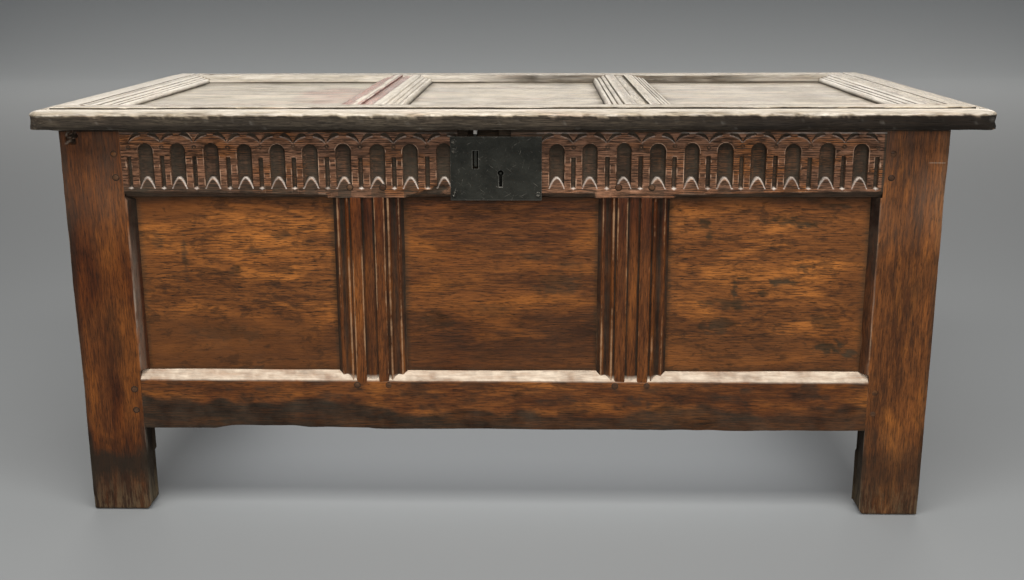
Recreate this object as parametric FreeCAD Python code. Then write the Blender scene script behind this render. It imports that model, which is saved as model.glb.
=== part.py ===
import FreeCAD, Part
import math
import os

# A joined oak coffer: four stiles run down as feet, grooved rails and muntins hold floating
# panels, and a framed lid turns on two strap hinges. Everything is in millimetres and +Z is up.
# While it is built, x = 0 is the middle of the carcass, y = 0 its front face, z = 0 the floor.

# Carcass
carcass_length = 1250.0        # over the stiles, left to right
carcass_depth = 600.0          # front face to back face
stile_height = 586.0           # floor to the top of the carcass
stile_width = 87.0             # left to right
stile_depth = 50.0             # front to back
rail_thickness = 28.0
top_rail_height = 99.5
bottom_rail_height = 89.5
foot_height = 134.5            # floor to the underside of the bottom rails
muntin_thickness = 26.0
muntin_width = 102.0
muntin_offset = 190.5          # middle of a long side's muntin from the middle of the chest
side_muntin_width = 84.0

# Panels and their grooves
panel_thickness = 8.0
panel_set_back = 13.0          # panel face behind the frame's face
panel_lap = 8.0                # how far a panel enters its groove
groove_room = 2.0              # groove deeper than the lap, so that the panel can swell

# Mortise and tenon joints
tenon_thickness = 10.0
tenon_set_back = 9.0           # tenon behind the frame's face
long_tenon_length = 42.0       # front and back rails into the stiles
side_tenon_length = 34.0       # side rails into the stiles
muntin_tenon_length = 32.0
top_haunch = 20.0              # wood left above a top rail's tenon
mortise_room = 1.5             # mortise deeper than the tenon
shoulder_room = 2.0            # tenon shoulder past the bottom of the panel groove
peg_radius = 4.0
peg_clearance = 0.05
peg_proud = 0.6
peg_depth = 24.0
peg_set_back = 10.0            # peg from the shoulder of a stile joint
muntin_peg_rise = 15.0         # peg from the shoulder of a muntin joint

# Moulded edges, measured from the panel towards the flat
slope_width = 6.4
fillet_width = 3.1
fillet_depth = 7.0
hollow_width = 10.6
hollow_sink = 1.6              # how far the hollow dips below the fillet
bead_width = 3.6
bead_depth = 1.2
quirk_width = 3.7
quirk_depth = 3.0
channel_width = 19.0           # sunk channel along the middle of a muntin
channel_depth = 3.6
reed_rise = 2.3                # the channel's floor swells by this much

# Front rails and stiles
top_chamfer = 9.0              # stopped chamfer over each panel
chamfer_stop = 4.0             # plain wood between the chamfer and a muntin
bottom_chamfer = 12.4          # long chamfer below the panels
strip_width = 12.0             # moulded edge of a front stile beside its panel
strip_chamfer_width = 7.0
strip_chamfer_depth = 5.0

# Carved frieze
flute_pitch = 47.1
first_flute = 79.8             # middle of the first flute from the middle of the rail
flute_width = 22.0
flute_depth = 5.0
flute_foot = 16.5              # foot of the flutes above the rail's lower edge
flute_crown = 77.5             # crown of the flutes above the rail's lower edge
tongue_radius = 9.5            # rounded tongue standing at a flute's foot
slot_width = 6.5               # narrow slots between the flutes
slot_depth = 4.0
slot_length = 43.0

# Floor
floor_board_count = 4
floor_thickness = 14.0
floor_rebate = 12.0            # how far the boards run into the rails
board_gap = 0.6
nail_radius = 1.6
nail_length = 26.0
nail_head_radius = 4.0
nail_head_height = 1.4
board_nail_inset = 45.0        # nail from the board's edge

# Lid
lid_thickness = 29.0
front_overhang = 27.0
left_overhang = 36.0
right_overhang = 59.0
lid_front_rail_width = 64.0
lid_rear_rail_width = 67.0
lid_left_stile_width = 101.0
lid_right_stile_width = 116.0
lid_muntin_width = 100.0
lid_left_muntin_x = -193.0
lid_right_muntin_x = 203.0
lid_tenon_length = 36.0
lid_tenon_thickness = 9.0
lid_tenon_rise = 8.5           # tenon above the lid's underside
lid_peg_radius = 3.5
thumb_width = 27.0             # rounded moulding along the front and both ends
thumb_drop = 11.0
thumb_quirk = 2.5
under_chamfer_height = 6.0
under_chamfer_depth = 3.0
lid_groove_inset = 56.0        # scratched line on an end stile, from its outer edge
lid_groove_width = 4.0
lid_groove_depth = 2.5

# Hinges
hinge_offset = 193.0           # middle of a hinge from the middle of the chest
strap_thickness = 3.0
strap_width = 30.0
strap_tip_width = 20.0
strap_length = 250.0
leaf_height = 66.0
pin_radius = 3.0
pin_clearance = 0.06
barrel_radius = 6.0
barrel_gap = 0.4               # between the barrels and the wood
barrel_width = 40.0
middle_knuckle = 16.0
knuckle_gap = 0.4
strap_nail_count = 4
strap_nail_length = 20.0
leaf_nail_length = 20.0

# Lock
plate_length = 129.0
plate_height = 91.0
plate_thickness = 1.6
plate_middle_x = -6.0
plate_top_drop = 12.0          # plate's top edge below the top of the rail
keyhole_x = 0.5
keyhole_drop = 64.0            # middle of the keyhole below the top of the rail
keyhole_radius = 4.2
keyhole_slot_width = 4.6
keyhole_length = 19.5          # middle of the keyhole to the foot of its slot
lock_slot_x = -35.0
lock_slot_width = 8.2
lock_slot_height = 25.6
lock_slot_drop = 45.0          # middle of the slot below the top of the rail
case_depth = 20.0              # hollow for the lock in the rail
case_left = -60.0
case_right = 46.0
case_floor_clearance = 4.0     # wood between the hollow and the panel groove
mouth_left = -46.0             # mouth for the staple in the top of the rail
mouth_right = -2.0
lip_notch_left = -60.0         # shallow notch cut in the rail's top edge above the plate
lip_notch_right = 15.0
lip_notch_depth = 7.0
staple_thickness = 5.0
staple_width = 11.0
staple_drop = 56.0
staple_setback = 3.4           # staple behind the lock plate
staple_foot_length = 27.0
staple_foot_thickness = 2.5
staple_foot_depth = 28.0
eye_width = 5.4
eye_height = 11.4
bolt_thickness = 4.0
bolt_height = 10.0
bolt_length = 66.0
bolt_travel = 13.0
bolt_rest_gap = 1.6            # bolt's tip from the staple when it is drawn back
bolt_running_gap = 0.3
talon_width = 5.0
talon_depth = 3.5
talon_pitch = 9.0
keeper_width = 6.0
keeper_thickness = 1.6
bridge_thickness = 2.0
bridge_length = 34.0
bridge_height = 46.0
drill_pin_radius = 1.4
spring_thickness = 0.8
plate_nail_length = 12.0
plate_nail_inset = 5.0
plate_nail_low = 9.0           # lower nails above the plate's lower edge
plate_nail_step = 13.0         # between the two nails at the upper left corner

# Old damage
notch_width = 14.0
notch_height = 18.0
notch_depth = 9.0
notch_inset = 12.0             # from the left stile's outer edge

half_length = carcass_length / 2
groove_depth = panel_lap + groove_room
tenon_shoulder = groove_depth + shoulder_room
top_rail_low = stile_height - top_rail_height
bottom_rail_top = foot_height + bottom_rail_height
chamfer_low = bottom_rail_top - bottom_chamfer
moulding_width = slope_width + fillet_width + hollow_width + bead_width + quirk_width
long_span = carcass_length - 2 * stile_width
side_span = carcass_depth - 2 * stile_depth
lid_bottom = stile_height
lid_top = lid_bottom + lid_thickness
lid_left = -half_length - left_overhang
lid_right = half_length + right_overhang
lid_front = -front_overhang
lid_panel_top = lid_top - panel_set_back
pin_y = carcass_depth + barrel_radius + barrel_gap
pin_z = stile_height - strap_thickness
lip = 1.0                      # how far cutting shapes stand out of what they cut


def box(x0, x1, y0, y1, z0, z1):
    return Part.makeBox(x1 - x0, y1 - y0, z1 - z0, FreeCAD.Vector(x0, y0, z0))


def rod(radius, length, start, direction):
    return Part.makeCylinder(radius, length, FreeCAD.Vector(*start), FreeCAD.Vector(*direction))


def joined(shapes):
    if len(shapes) == 1:
        return shapes[0]
    return shapes[0].multiFuse(shapes[1:]).removeSplitter()


# Fitting one moulding over another leaves crumbs in its quirks, which are thrown away.
def largest(shape):
    return max(shape.Solids, key=lambda solid: solid.Volume)


# A prism whose outline is a list of (across, deep) points. A four-number entry is an arc: a point
# that it passes through and the point where it ends.
def prism(outline, origin, across, deep, sweep):
    def spot(a, d):
        return origin + across * a + deep * d

    edges = []
    last = spot(*outline[0])
    for step in outline[1:] + [outline[0]]:
        end = spot(*step[-2:])
        if len(step) == 4:
            edges.append(Part.Arc(last, spot(*step[:2]), end).toShape())
        elif last.distanceToPoint(end) > 1e-6:
            edges.append(Part.LineSegment(last, end).toShape())
        last = end
    return Part.Face(Part.Wire(edges)).extrude(sweep)


# What a moulded edge loses: the outline starts at the panel and climbs to the flat.
def moulding_cutter(origin, across, deep, sweep):
    fillet_in = slope_width + fillet_width
    bead_out = fillet_in + hollow_width
    bead_in = bead_out + bead_width
    outline = [
        (-lip, -lip),
        (-lip, panel_set_back),
        (0, panel_set_back),
        (slope_width, fillet_depth),
        (fillet_in, fillet_depth),
        (fillet_in + hollow_width * 0.4, fillet_depth + hollow_sink * 0.4, bead_out, bead_depth + lip),
        (bead_out, bead_depth),
        (bead_in, bead_depth),
        (bead_in + quirk_width * 0.4, quirk_depth),
        (moulding_width, 0),
        (moulding_width, -lip),
    ]
    return prism(outline, origin, across, deep, sweep)


# The sunk channel with a swelling floor that runs along the middle of a muntin.
def channel_cutter(origin, across, deep, sweep):
    half = channel_width / 2
    outline = [
        (-half, -lip),
        (-half, channel_depth),
        (0, channel_depth - reed_rise, half, channel_depth),
        (half, -lip),
    ]
    return prism(outline, origin, across, deep, sweep)


axis_x = FreeCAD.Vector(1, 0, 0)
axis_y = FreeCAD.Vector(0, 1, 0)
axis_z = FreeCAD.Vector(0, 0, 1)

# Frames of the four sides. A frame is drawn as the front is: x along it, y into the wood.


def bays(span, muntin_places, muntin_wide, strip):
    edges = [-span / 2 + strip]
    for place in muntin_places:
        edges += [place - muntin_wide / 2, place + muntin_wide / 2]
    edges.append(span / 2 - strip)
    return [(edges[i], edges[i + 1]) for i in range(0, len(edges), 2)]


def panel_box(bay, reach):
    return box(bay[0] - reach, bay[1] + reach, panel_set_back, panel_set_back + panel_thickness,
               bottom_rail_top - reach, top_rail_low + reach)


def rail_tenons(span, low, high, length):
    y0 = tenon_set_back
    y1 = y0 + tenon_thickness
    left = box(-span / 2 - length, -span / 2, y0, y1, low, high)
    right = box(span / 2, span / 2 + length, y0, y1, low, high)
    return [left, right]


def muntin_tenons(place, wide, room):
    half = wide / 2 - tenon_shoulder
    y0 = tenon_set_back
    y1 = y0 + tenon_thickness
    reach = muntin_tenon_length + room
    upper = box(place - half, place + half, y0, y1, top_rail_low, top_rail_low + reach)
    lower = box(place - half, place + half, y0, y1, bottom_rail_top - reach, bottom_rail_top)
    return [upper, lower]


def peg(x, z, radius, depth):
    return rod(radius, depth + peg_proud, (x, -peg_proud, z), (0, 1, 0))


def tenon_heights():
    top = (top_rail_low + tenon_shoulder, stile_height - top_haunch)
    bottom = (foot_height + tenon_shoulder, bottom_rail_top - tenon_shoulder)
    return [top, bottom]


def frame_peg_places(span, muntin_places, wide):
    places = []
    for low, high in tenon_heights():
        for share in (0.25, 0.75):
            z = low + (high - low) * share
            places += [(-span / 2 - peg_set_back, z), (span / 2 + peg_set_back, z)]
    half = wide / 2 - tenon_shoulder
    for middle in muntin_places:
        for x in (middle - half * 0.6, middle + half * 0.6):
            places += [(x, top_rail_low + muntin_peg_rise), (x, chamfer_low - muntin_peg_rise / 2)]
    return places


def bottom_rail_body(span, chamfered):
    body = box(-span / 2, span / 2, 0, rail_thickness, foot_height, bottom_rail_top)
    rebate = box(-span / 2 - lip, span / 2 + lip, rail_thickness - floor_rebate, rail_thickness + lip,
                 foot_height - lip, foot_height + floor_thickness)
    body = body.cut(rebate)
    if chamfered:
        outline = [(0, chamfer_low), (panel_set_back, bottom_rail_top), (0, bottom_rail_top)]
        waste = prism(outline, axis_x * (-span / 2), axis_y, axis_z, axis_x * span)
        body = body.cut(waste)
    return body


def top_rail_body(span, bay_list, chamfered):
    body = box(-span / 2, span / 2, 0, rail_thickness, top_rail_low, stile_height)
    if not chamfered:
        return body
    for number, (left, right) in enumerate(bay_list):
        start = left if number == 0 else left + chamfer_stop
        end = right if number == len(bay_list) - 1 else right - chamfer_stop
        outline = [(0, top_rail_low), (top_chamfer, top_rail_low), (0, top_rail_low + top_chamfer)]
        body = body.cut(prism(outline, axis_x * start, axis_y, axis_z, axis_x * (end - start)))
    return body


def muntin_body(place, wide, moulded, rail_below):
    low = chamfer_low if moulded else bottom_rail_top
    body = box(place - wide / 2, place + wide / 2, 0, muntin_thickness, low, top_rail_low)
    if not moulded:
        return body
    sweep = axis_z * (top_rail_low - low)
    left = FreeCAD.Vector(place - wide / 2, 0, low)
    right = FreeCAD.Vector(place + wide / 2, 0, low)
    middle = FreeCAD.Vector(place, 0, low)
    body = body.cut([moulding_cutter(left, axis_x, axis_y, sweep),
                     moulding_cutter(right, -axis_x, axis_y, sweep),
                     channel_cutter(middle, axis_x, axis_y, sweep)])
    return largest(body.cut(rail_below))


# Builds one frame. It returns the rails, muntins, panels and pegs, and what the stiles lose to it.
def side_frame(span, muntin_places, wide, tenon_length, strip, moulded):
    bay_list = bays(span, muntin_places, wide, strip)
    grooves = [panel_box(bay, groove_depth) for bay in bay_list]
    peg_places = frame_peg_places(span, muntin_places, wide)
    holes = [peg(x, z, peg_radius + peg_clearance, peg_depth) for x, z in peg_places]
    (top_low, top_high), (bottom_low, bottom_high) = tenon_heights()

    top = top_rail_body(span, bay_list, moulded)
    top = joined([top] + rail_tenons(span, top_low, top_high, tenon_length))
    plain_bottom = bottom_rail_body(span, moulded)
    bottom = joined([plain_bottom] + rail_tenons(span, bottom_low, bottom_high, tenon_length))

    muntins = []
    mortises = []
    for place in muntin_places:
        body = muntin_body(place, wide, moulded, plain_bottom)
        body = joined([body] + muntin_tenons(place, wide, 0))
        muntins.append(body.cut(grooves + holes))
        mortises += muntin_tenons(place, wide, mortise_room)
    top = top.cut(grooves + mortises + holes)
    bottom = bottom.cut(grooves + mortises + holes)

    panels = [panel_box(bay, panel_lap) for bay in bay_list]
    pegs = [peg(x, z, peg_radius, peg_depth) for x, z in peg_places]
    stile_waste = grooves + holes
    stile_waste += rail_tenons(span, top_low, top_high, tenon_length + mortise_room)
    stile_waste += rail_tenons(span, bottom_low, bottom_high, tenon_length + mortise_room)
    return {"top": top, "bottom": bottom, "muntins": muntins, "panels": panels, "pegs": pegs,
            "waste": stile_waste, "plain_bottom": plain_bottom}


# A shape drawn on the front, carried to one of the other sides.
def carried(shape, side):
    turns = {"front": 0, "back": 180, "left": -90, "right": 90}
    shifts = {
        "front": FreeCAD.Vector(0, 0, 0),
        "back": FreeCAD.Vector(0, carcass_depth, 0),
        "left": FreeCAD.Vector(-half_length, carcass_depth / 2, 0),
        "right": FreeCAD.Vector(half_length, carcass_depth / 2, 0),
    }
    moved = shape.copy()
    moved.rotate(FreeCAD.Vector(0, 0, 0), axis_z, turns[side])
    moved.translate(shifts[side])
    return moved


def stile_box(x_side, y_side):
    x0 = -half_length if x_side < 0 else half_length - stile_width
    y0 = 0 if y_side < 0 else carcass_depth - stile_depth
    return box(x0, x0 + stile_width, y0, y0 + stile_depth, 0, stile_height)


# The moulded edge that a front stile carries beside its panel, fitted over the lower rail.
def stile_strip(x_side, rail_below):
    outline = [
        (0, 0),
        (strip_chamfer_width, strip_chamfer_depth),
        (strip_width, panel_set_back),
        (strip_width, rail_thickness),
        (0, rail_thickness),
    ]
    edge = x_side * (half_length - stile_width)
    strip = prism(outline, FreeCAD.Vector(edge, 0, chamfer_low), axis_x * -x_side, axis_y,
                  axis_z * (top_rail_low - chamfer_low))
    return strip.cut(rail_below)


def old_notch():
    x0 = -half_length + notch_inset
    return box(x0, x0 + notch_width, -lip, notch_depth, stile_height - notch_height, stile_height + lip)


def make_stile(x_side, y_side, frames):
    parts = [stile_box(x_side, y_side)]
    if y_side < 0:
        parts.append(stile_strip(x_side, frames["front"]["plain_bottom"]))
    stile = joined(parts)
    end = "left" if x_side < 0 else "right"
    face = "front" if y_side < 0 else "back"
    waste = [carried(shape, side) for side in (end, face) for shape in frames[side]["waste"]]
    stile = stile.cut(waste)
    if x_side < 0 and y_side < 0:
        stile = stile.cut(old_notch())
    return stile


# Carving on the front top rail.


def flute_cutter(x):
    low = top_rail_low + flute_foot
    spring = top_rail_low + flute_crown - flute_width / 2
    shaft = box(x - flute_width / 2, x + flute_width / 2, -lip, flute_depth, low, spring)
    head = rod(flute_width / 2, flute_depth + lip, (x, -lip, spring), (0, 1, 0))
    tongue = rod(tongue_radius, flute_depth + 2 * lip, (x, -lip, low), (0, 1, 0))
    return joined([shaft, head]).cut(tongue)


def slot_cutter(x):
    low = top_rail_low + flute_foot
    return box(x - slot_width / 2, x + slot_width / 2, -lip, slot_depth, low, low + slot_length)


def frieze_cutters():
    room = long_span / 2 - first_flute - flute_pitch / 2 - slot_width / 2 - lip
    count = int(room / flute_pitch) + 1
    cutters = []
    for side in (-1, 1):
        for step in range(count):
            x = first_flute + step * flute_pitch
            cutters.append(flute_cutter(side * x))
            cutters.append(slot_cutter(side * (x + flute_pitch / 2)))
    return cutters


# Lock.

plate_left = plate_middle_x - plate_length / 2
plate_right = plate_middle_x + plate_length / 2
plate_top = stile_height - plate_top_drop
plate_low = plate_top - plate_height
keyhole_z = stile_height - keyhole_drop
slot_z = stile_height - lock_slot_drop
case_low = top_rail_low + groove_depth + case_floor_clearance
staple_y = staple_setback + staple_width / 2
bolt_tip = lock_slot_x + staple_thickness / 2 + bolt_rest_gap
bolt_end = bolt_tip + bolt_length
bolt_low = slot_z - bolt_height / 2
keeper_places = (bolt_tip + keeper_width / 2 + 3 * keeper_thickness, bolt_end - bolt_travel - keeper_width)


def lock_hollow():
    case = box(case_left, case_right, -lip, case_depth, case_low, plate_top - keeper_width)
    mouth = box(mouth_left, mouth_right, -lip, case_depth, case_low, stile_height + lip)
    lip_notch = box(lip_notch_left, lip_notch_right, -lip, lip_notch_depth, plate_top, stile_height + lip)
    return [case, mouth, lip_notch]


def plate_nail_places():
    x0 = plate_left + plate_nail_inset
    x1 = plate_right - plate_nail_inset
    z0 = plate_low + plate_nail_low
    z1 = plate_top - plate_nail_inset - plate_thickness
    return [(x0, z0), (x1, z0), (x0, z1), (x0, z1 - plate_nail_step)]


def nail(start, direction, length):
    way = FreeCAD.Vector(*direction)
    foot = FreeCAD.Vector(*start)
    head = rod(nail_head_radius, nail_head_height, foot - way * nail_head_height, way)
    shank = rod(nail_radius, length, foot, way)
    return joined([head, shank])


def make_lock_plate():
    plate = box(plate_left, plate_right, -plate_thickness, 0, plate_low, plate_top)
    depth = plate_thickness + 2 * lip
    start = -plate_thickness - lip
    keyhole = rod(keyhole_radius, depth, (keyhole_x, start, keyhole_z), (0, 1, 0))
    half = keyhole_slot_width / 2
    key_slot = box(keyhole_x - half, keyhole_x + half, start, start + depth,
                   keyhole_z - keyhole_length, keyhole_z)
    half_width = lock_slot_width / 2
    half_height = lock_slot_height / 2
    staple_slot = box(lock_slot_x - half_width, lock_slot_x + half_width, start, start + depth,
                      slot_z - half_height, slot_z + half_height)
    holes = [rod(nail_radius, depth, (x, start, z), (0, 1, 0)) for x, z in plate_nail_places()]
    return plate.cut([keyhole, key_slot, staple_slot] + holes)


def make_staple():
    x0 = lock_slot_x - staple_thickness / 2
    x1 = lock_slot_x + staple_thickness / 2
    y0 = staple_setback
    y1 = staple_setback + staple_width
    shank = box(x0, x1, y0, y1, lid_bottom - staple_drop, lid_bottom + staple_foot_thickness)
    eye = box(x0 - lip, x1 + lip, staple_y - eye_width / 2, staple_y + eye_width / 2,
              slot_z - eye_height / 2, slot_z + eye_height / 2)
    foot = staple_foot_box(0)
    return joined([shank, foot]).cut([eye] + [staple_nail_hole(x, y) for x, y in staple_nail_places()])


def staple_foot_box(room):
    x0 = lock_slot_x - staple_foot_length / 3
    return box(x0, x0 + staple_foot_length, staple_setback - lip, staple_setback + staple_foot_depth,
               lid_bottom - room, lid_bottom + staple_foot_thickness)


def staple_nail_places():
    x0 = lock_slot_x + staple_thickness / 2 + nail_head_radius + lip
    y1 = staple_setback + staple_foot_depth - nail_head_radius - lip
    return [(x0, staple_y), (x0, y1)]


def staple_nail_hole(x, y):
    return rod(nail_radius, staple_foot_thickness + 2 * lip, (x, y, lid_bottom - lip), (0, 0, 1))


def make_bolt():
    y0 = staple_y - bolt_thickness / 2
    bar = box(bolt_tip, bolt_end, y0, y0 + bolt_thickness, bolt_low, bolt_low + bolt_height)
    notches = []
    for step in (0, 1):
        x = keyhole_x + step * talon_pitch - talon_width / 2
        notches.append(box(x, x + talon_width, y0 - lip, y0 + bolt_thickness + lip,
                           bolt_low - lip, bolt_low + talon_depth))
    return bar.cut(notches)


# A strap bent round the bolt, with both feet against the back of the plate.
def make_keeper(x):
    half = keeper_width / 2
    inner_y = staple_y + bolt_thickness / 2 + bolt_running_gap
    inner_low = bolt_low - bolt_running_gap
    inner_high = bolt_low + bolt_height + bolt_running_gap + spring_thickness
    outer = box(x - half, x + half, 0, inner_y + keeper_thickness,
                inner_low - keeper_thickness, inner_high + keeper_thickness)
    inner = box(x - half - lip, x + half + lip, -lip, inner_y, inner_low, inner_high)
    return outer.cut(inner)


# A leaf spring lying between the keepers on the bolt's upper edge.
def make_spring():
    z0 = bolt_low + bolt_height + bolt_running_gap
    x0 = keeper_places[0] - keeper_width / 2
    x1 = keeper_places[1] + keeper_width / 2
    y0 = staple_y - bolt_thickness / 2
    return box(x0, x1, y0, y0 + bolt_thickness, z0, z0 + spring_thickness)


# The bridge closes the lock's back and carries the drill pin that the key turns on.
def make_bridge():
    y1 = case_depth
    y0 = y1 - bridge_thickness
    half = bridge_length / 2
    z1 = bolt_low - bolt_running_gap - keeper_thickness - lip
    z0 = max(z1 - bridge_height, case_low)
    back = box(keyhole_x - half, keyhole_x + half, y0, y1, z0, z1)
    legs = [box(x - bridge_thickness, x, 0, y1, z0, z0 + bridge_length / 3)
            for x in (keyhole_x - half + bridge_thickness, keyhole_x + half)]
    pin = rod(drill_pin_radius, y1 + plate_thickness, (keyhole_x, -plate_thickness, keyhole_z), (0, 1, 0))
    return joined([back, pin] + legs)


# Lid.


# What the rounded edge loses along one side of the lid: it starts at the scratched quirk.
def thumb_cutter(origin, outward, sweep):
    low = lid_thickness
    steps = 8
    curve = []
    for i in range(1, steps + 1):
        turn = math.pi / 2 * i / steps
        drop = thumb_quirk + thumb_drop * (1 - math.cos(turn))
        curve.append((thumb_width * math.sin(turn), drop))
    outline = [(0, -lip), (0, thumb_quirk)] + curve
    outline += [
        (thumb_width, low - under_chamfer_height),
        (thumb_width - under_chamfer_depth, low),
        (thumb_width - under_chamfer_depth, low + lip),
        (thumb_width + lip, low + lip),
        (thumb_width + lip, -lip),
    ]
    return prism(outline, origin, outward, -axis_z, sweep)


def lid_slab():
    slab = box(lid_left, lid_right, lid_front, carcass_depth, lid_bottom, lid_top)
    long_way = axis_x * (lid_right - lid_left + 2 * lip)
    deep_way = axis_y * (carcass_depth - lid_front + 2 * lip)
    front = thumb_cutter(FreeCAD.Vector(lid_left - lip, lid_front + thumb_width, lid_top), -axis_y, long_way)
    left = thumb_cutter(FreeCAD.Vector(lid_left + thumb_width, lid_front - lip, lid_top), -axis_x, deep_way)
    right = thumb_cutter(FreeCAD.Vector(lid_right - thumb_width, lid_front - lip, lid_top), axis_x, deep_way)
    return slab.cut([front, left, right])


lid_rail_back = lid_front + lid_front_rail_width
lid_rear_front = carcass_depth - lid_rear_rail_width
left_opening = lid_left + lid_left_stile_width
right_opening = lid_right - lid_right_stile_width
lid_muntin_places = (lid_left_muntin_x, lid_right_muntin_x)


def lid_bays():
    edges = [left_opening]
    for x in lid_muntin_places:
        edges += [x - lid_muntin_width / 2, x + lid_muntin_width / 2]
    edges.append(right_opening)
    return [(edges[i], edges[i + 1]) for i in range(0, len(edges), 2)]


def lid_panel_box(bay, reach):
    return box(bay[0] - reach, bay[1] + reach, lid_rail_back - reach, lid_rear_front + reach,
               lid_panel_top - panel_thickness, lid_panel_top)


def lid_tenon(x0, x1, y0, y1):
    low = lid_bottom + lid_tenon_rise
    return box(x0, x1, y0, y1, low, low + lid_tenon_thickness)


# Tenons of the stiles and muntins into the front rail, and of the muntins into the rear rail.
def stile_tenons(room):
    reach = lid_tenon_length + room
    left = lid_tenon(lid_left + thumb_width + tenon_shoulder, left_opening - tenon_shoulder,
                     lid_rail_back - reach, lid_rail_back)
    right = lid_tenon(right_opening + tenon_shoulder, lid_right - thumb_width - tenon_shoulder,
                      lid_rail_back - reach, lid_rail_back)
    return [left, right]


def lid_muntin_tenons(x, room):
    half = lid_muntin_width / 2 - tenon_shoulder
    reach = lid_tenon_length + room
    front = lid_tenon(x - half, x + half, lid_rail_back - reach, lid_rail_back)
    rear = lid_tenon(x - half, x + half, lid_rear_front, lid_rear_front + reach)
    return [front, rear]


def rear_rail_tenons(room):
    y0 = lid_rear_front + tenon_shoulder
    y1 = carcass_depth - tenon_shoulder
    reach = lid_tenon_length + room
    return [lid_tenon(left_opening - reach, left_opening, y0, y1),
            lid_tenon(right_opening, right_opening + reach, y0, y1)]


def lid_peg_places():
    front_y = lid_rail_back - peg_set_back
    rear_y = lid_rear_front + peg_set_back + tenon_shoulder
    places = []
    for tenon in stile_tenons(0):
        limits = tenon.BoundBox
        places.append(((limits.XMin + limits.XMax) / 2, front_y))
    half = lid_muntin_width / 2 - tenon_shoulder
    for x in lid_muntin_places:
        for side in (-0.6, 0.6):
            places += [(x + side * half, front_y), (x + side * half, rear_y)]
    for x in (left_opening - peg_set_back, right_opening + peg_set_back):
        places.append((x, (lid_rear_front + carcass_depth) / 2 + peg_set_back))
    return places


def lid_peg(x, y, radius):
    foot = lid_bottom + strap_thickness + 2
    return rod(radius, lid_top - foot, (x, y, foot), (0, 0, 1))


def strap_outline_cutter(x, room):
    half = strap_width / 2
    tip = strap_tip_width / 2
    outline = [(-half, 0), (half, 0), (tip, strap_length - tip), (0, strap_length, -tip, strap_length - tip)]
    return prism(outline, FreeCAD.Vector(x, carcass_depth, lid_bottom - room), axis_x, -axis_y,
                 axis_z * (strap_thickness + room))


def strap_nail_places(x):
    spacing = strap_length / (strap_nail_count + 0.5)
    return [(x, carcass_depth - spacing * (step + 0.5)) for step in range(strap_nail_count)]


def strap_shoulder(x, room):
    half = barrel_width / 2
    return box(x - half, x + half, carcass_depth - strap_thickness, pin_y, lid_bottom - room,
               lid_bottom + strap_thickness)


def lid_iron_waste():
    waste = [staple_foot_box(lip)]
    for x in (-hinge_offset, hinge_offset):
        waste += [strap_outline_cutter(x, lip), strap_shoulder(x, lip)]
    for nail_shape in lid_nails():
        waste.append(nail_shape)
    return waste


def lid_nails():
    nails = []
    for side in (-1, 1):
        for x, y in strap_nail_places(side * hinge_offset):
            nails.append(rod(nail_radius, strap_nail_length, (x, y, lid_bottom), (0, 0, 1)))
    for x, y in staple_nail_places():
        nails.append(rod(nail_radius, strap_nail_length, (x, y, lid_bottom), (0, 0, 1)))
    return nails


def edge_line(x, outward):
    outline = [(-lid_groove_width / 2, 0), (0, lid_groove_depth), (lid_groove_width / 2, 0)]
    return prism(outline, FreeCAD.Vector(x, lid_rail_back, lid_top), axis_x * outward, -axis_z,
                 axis_y * (carcass_depth - lid_rail_back))


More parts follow.
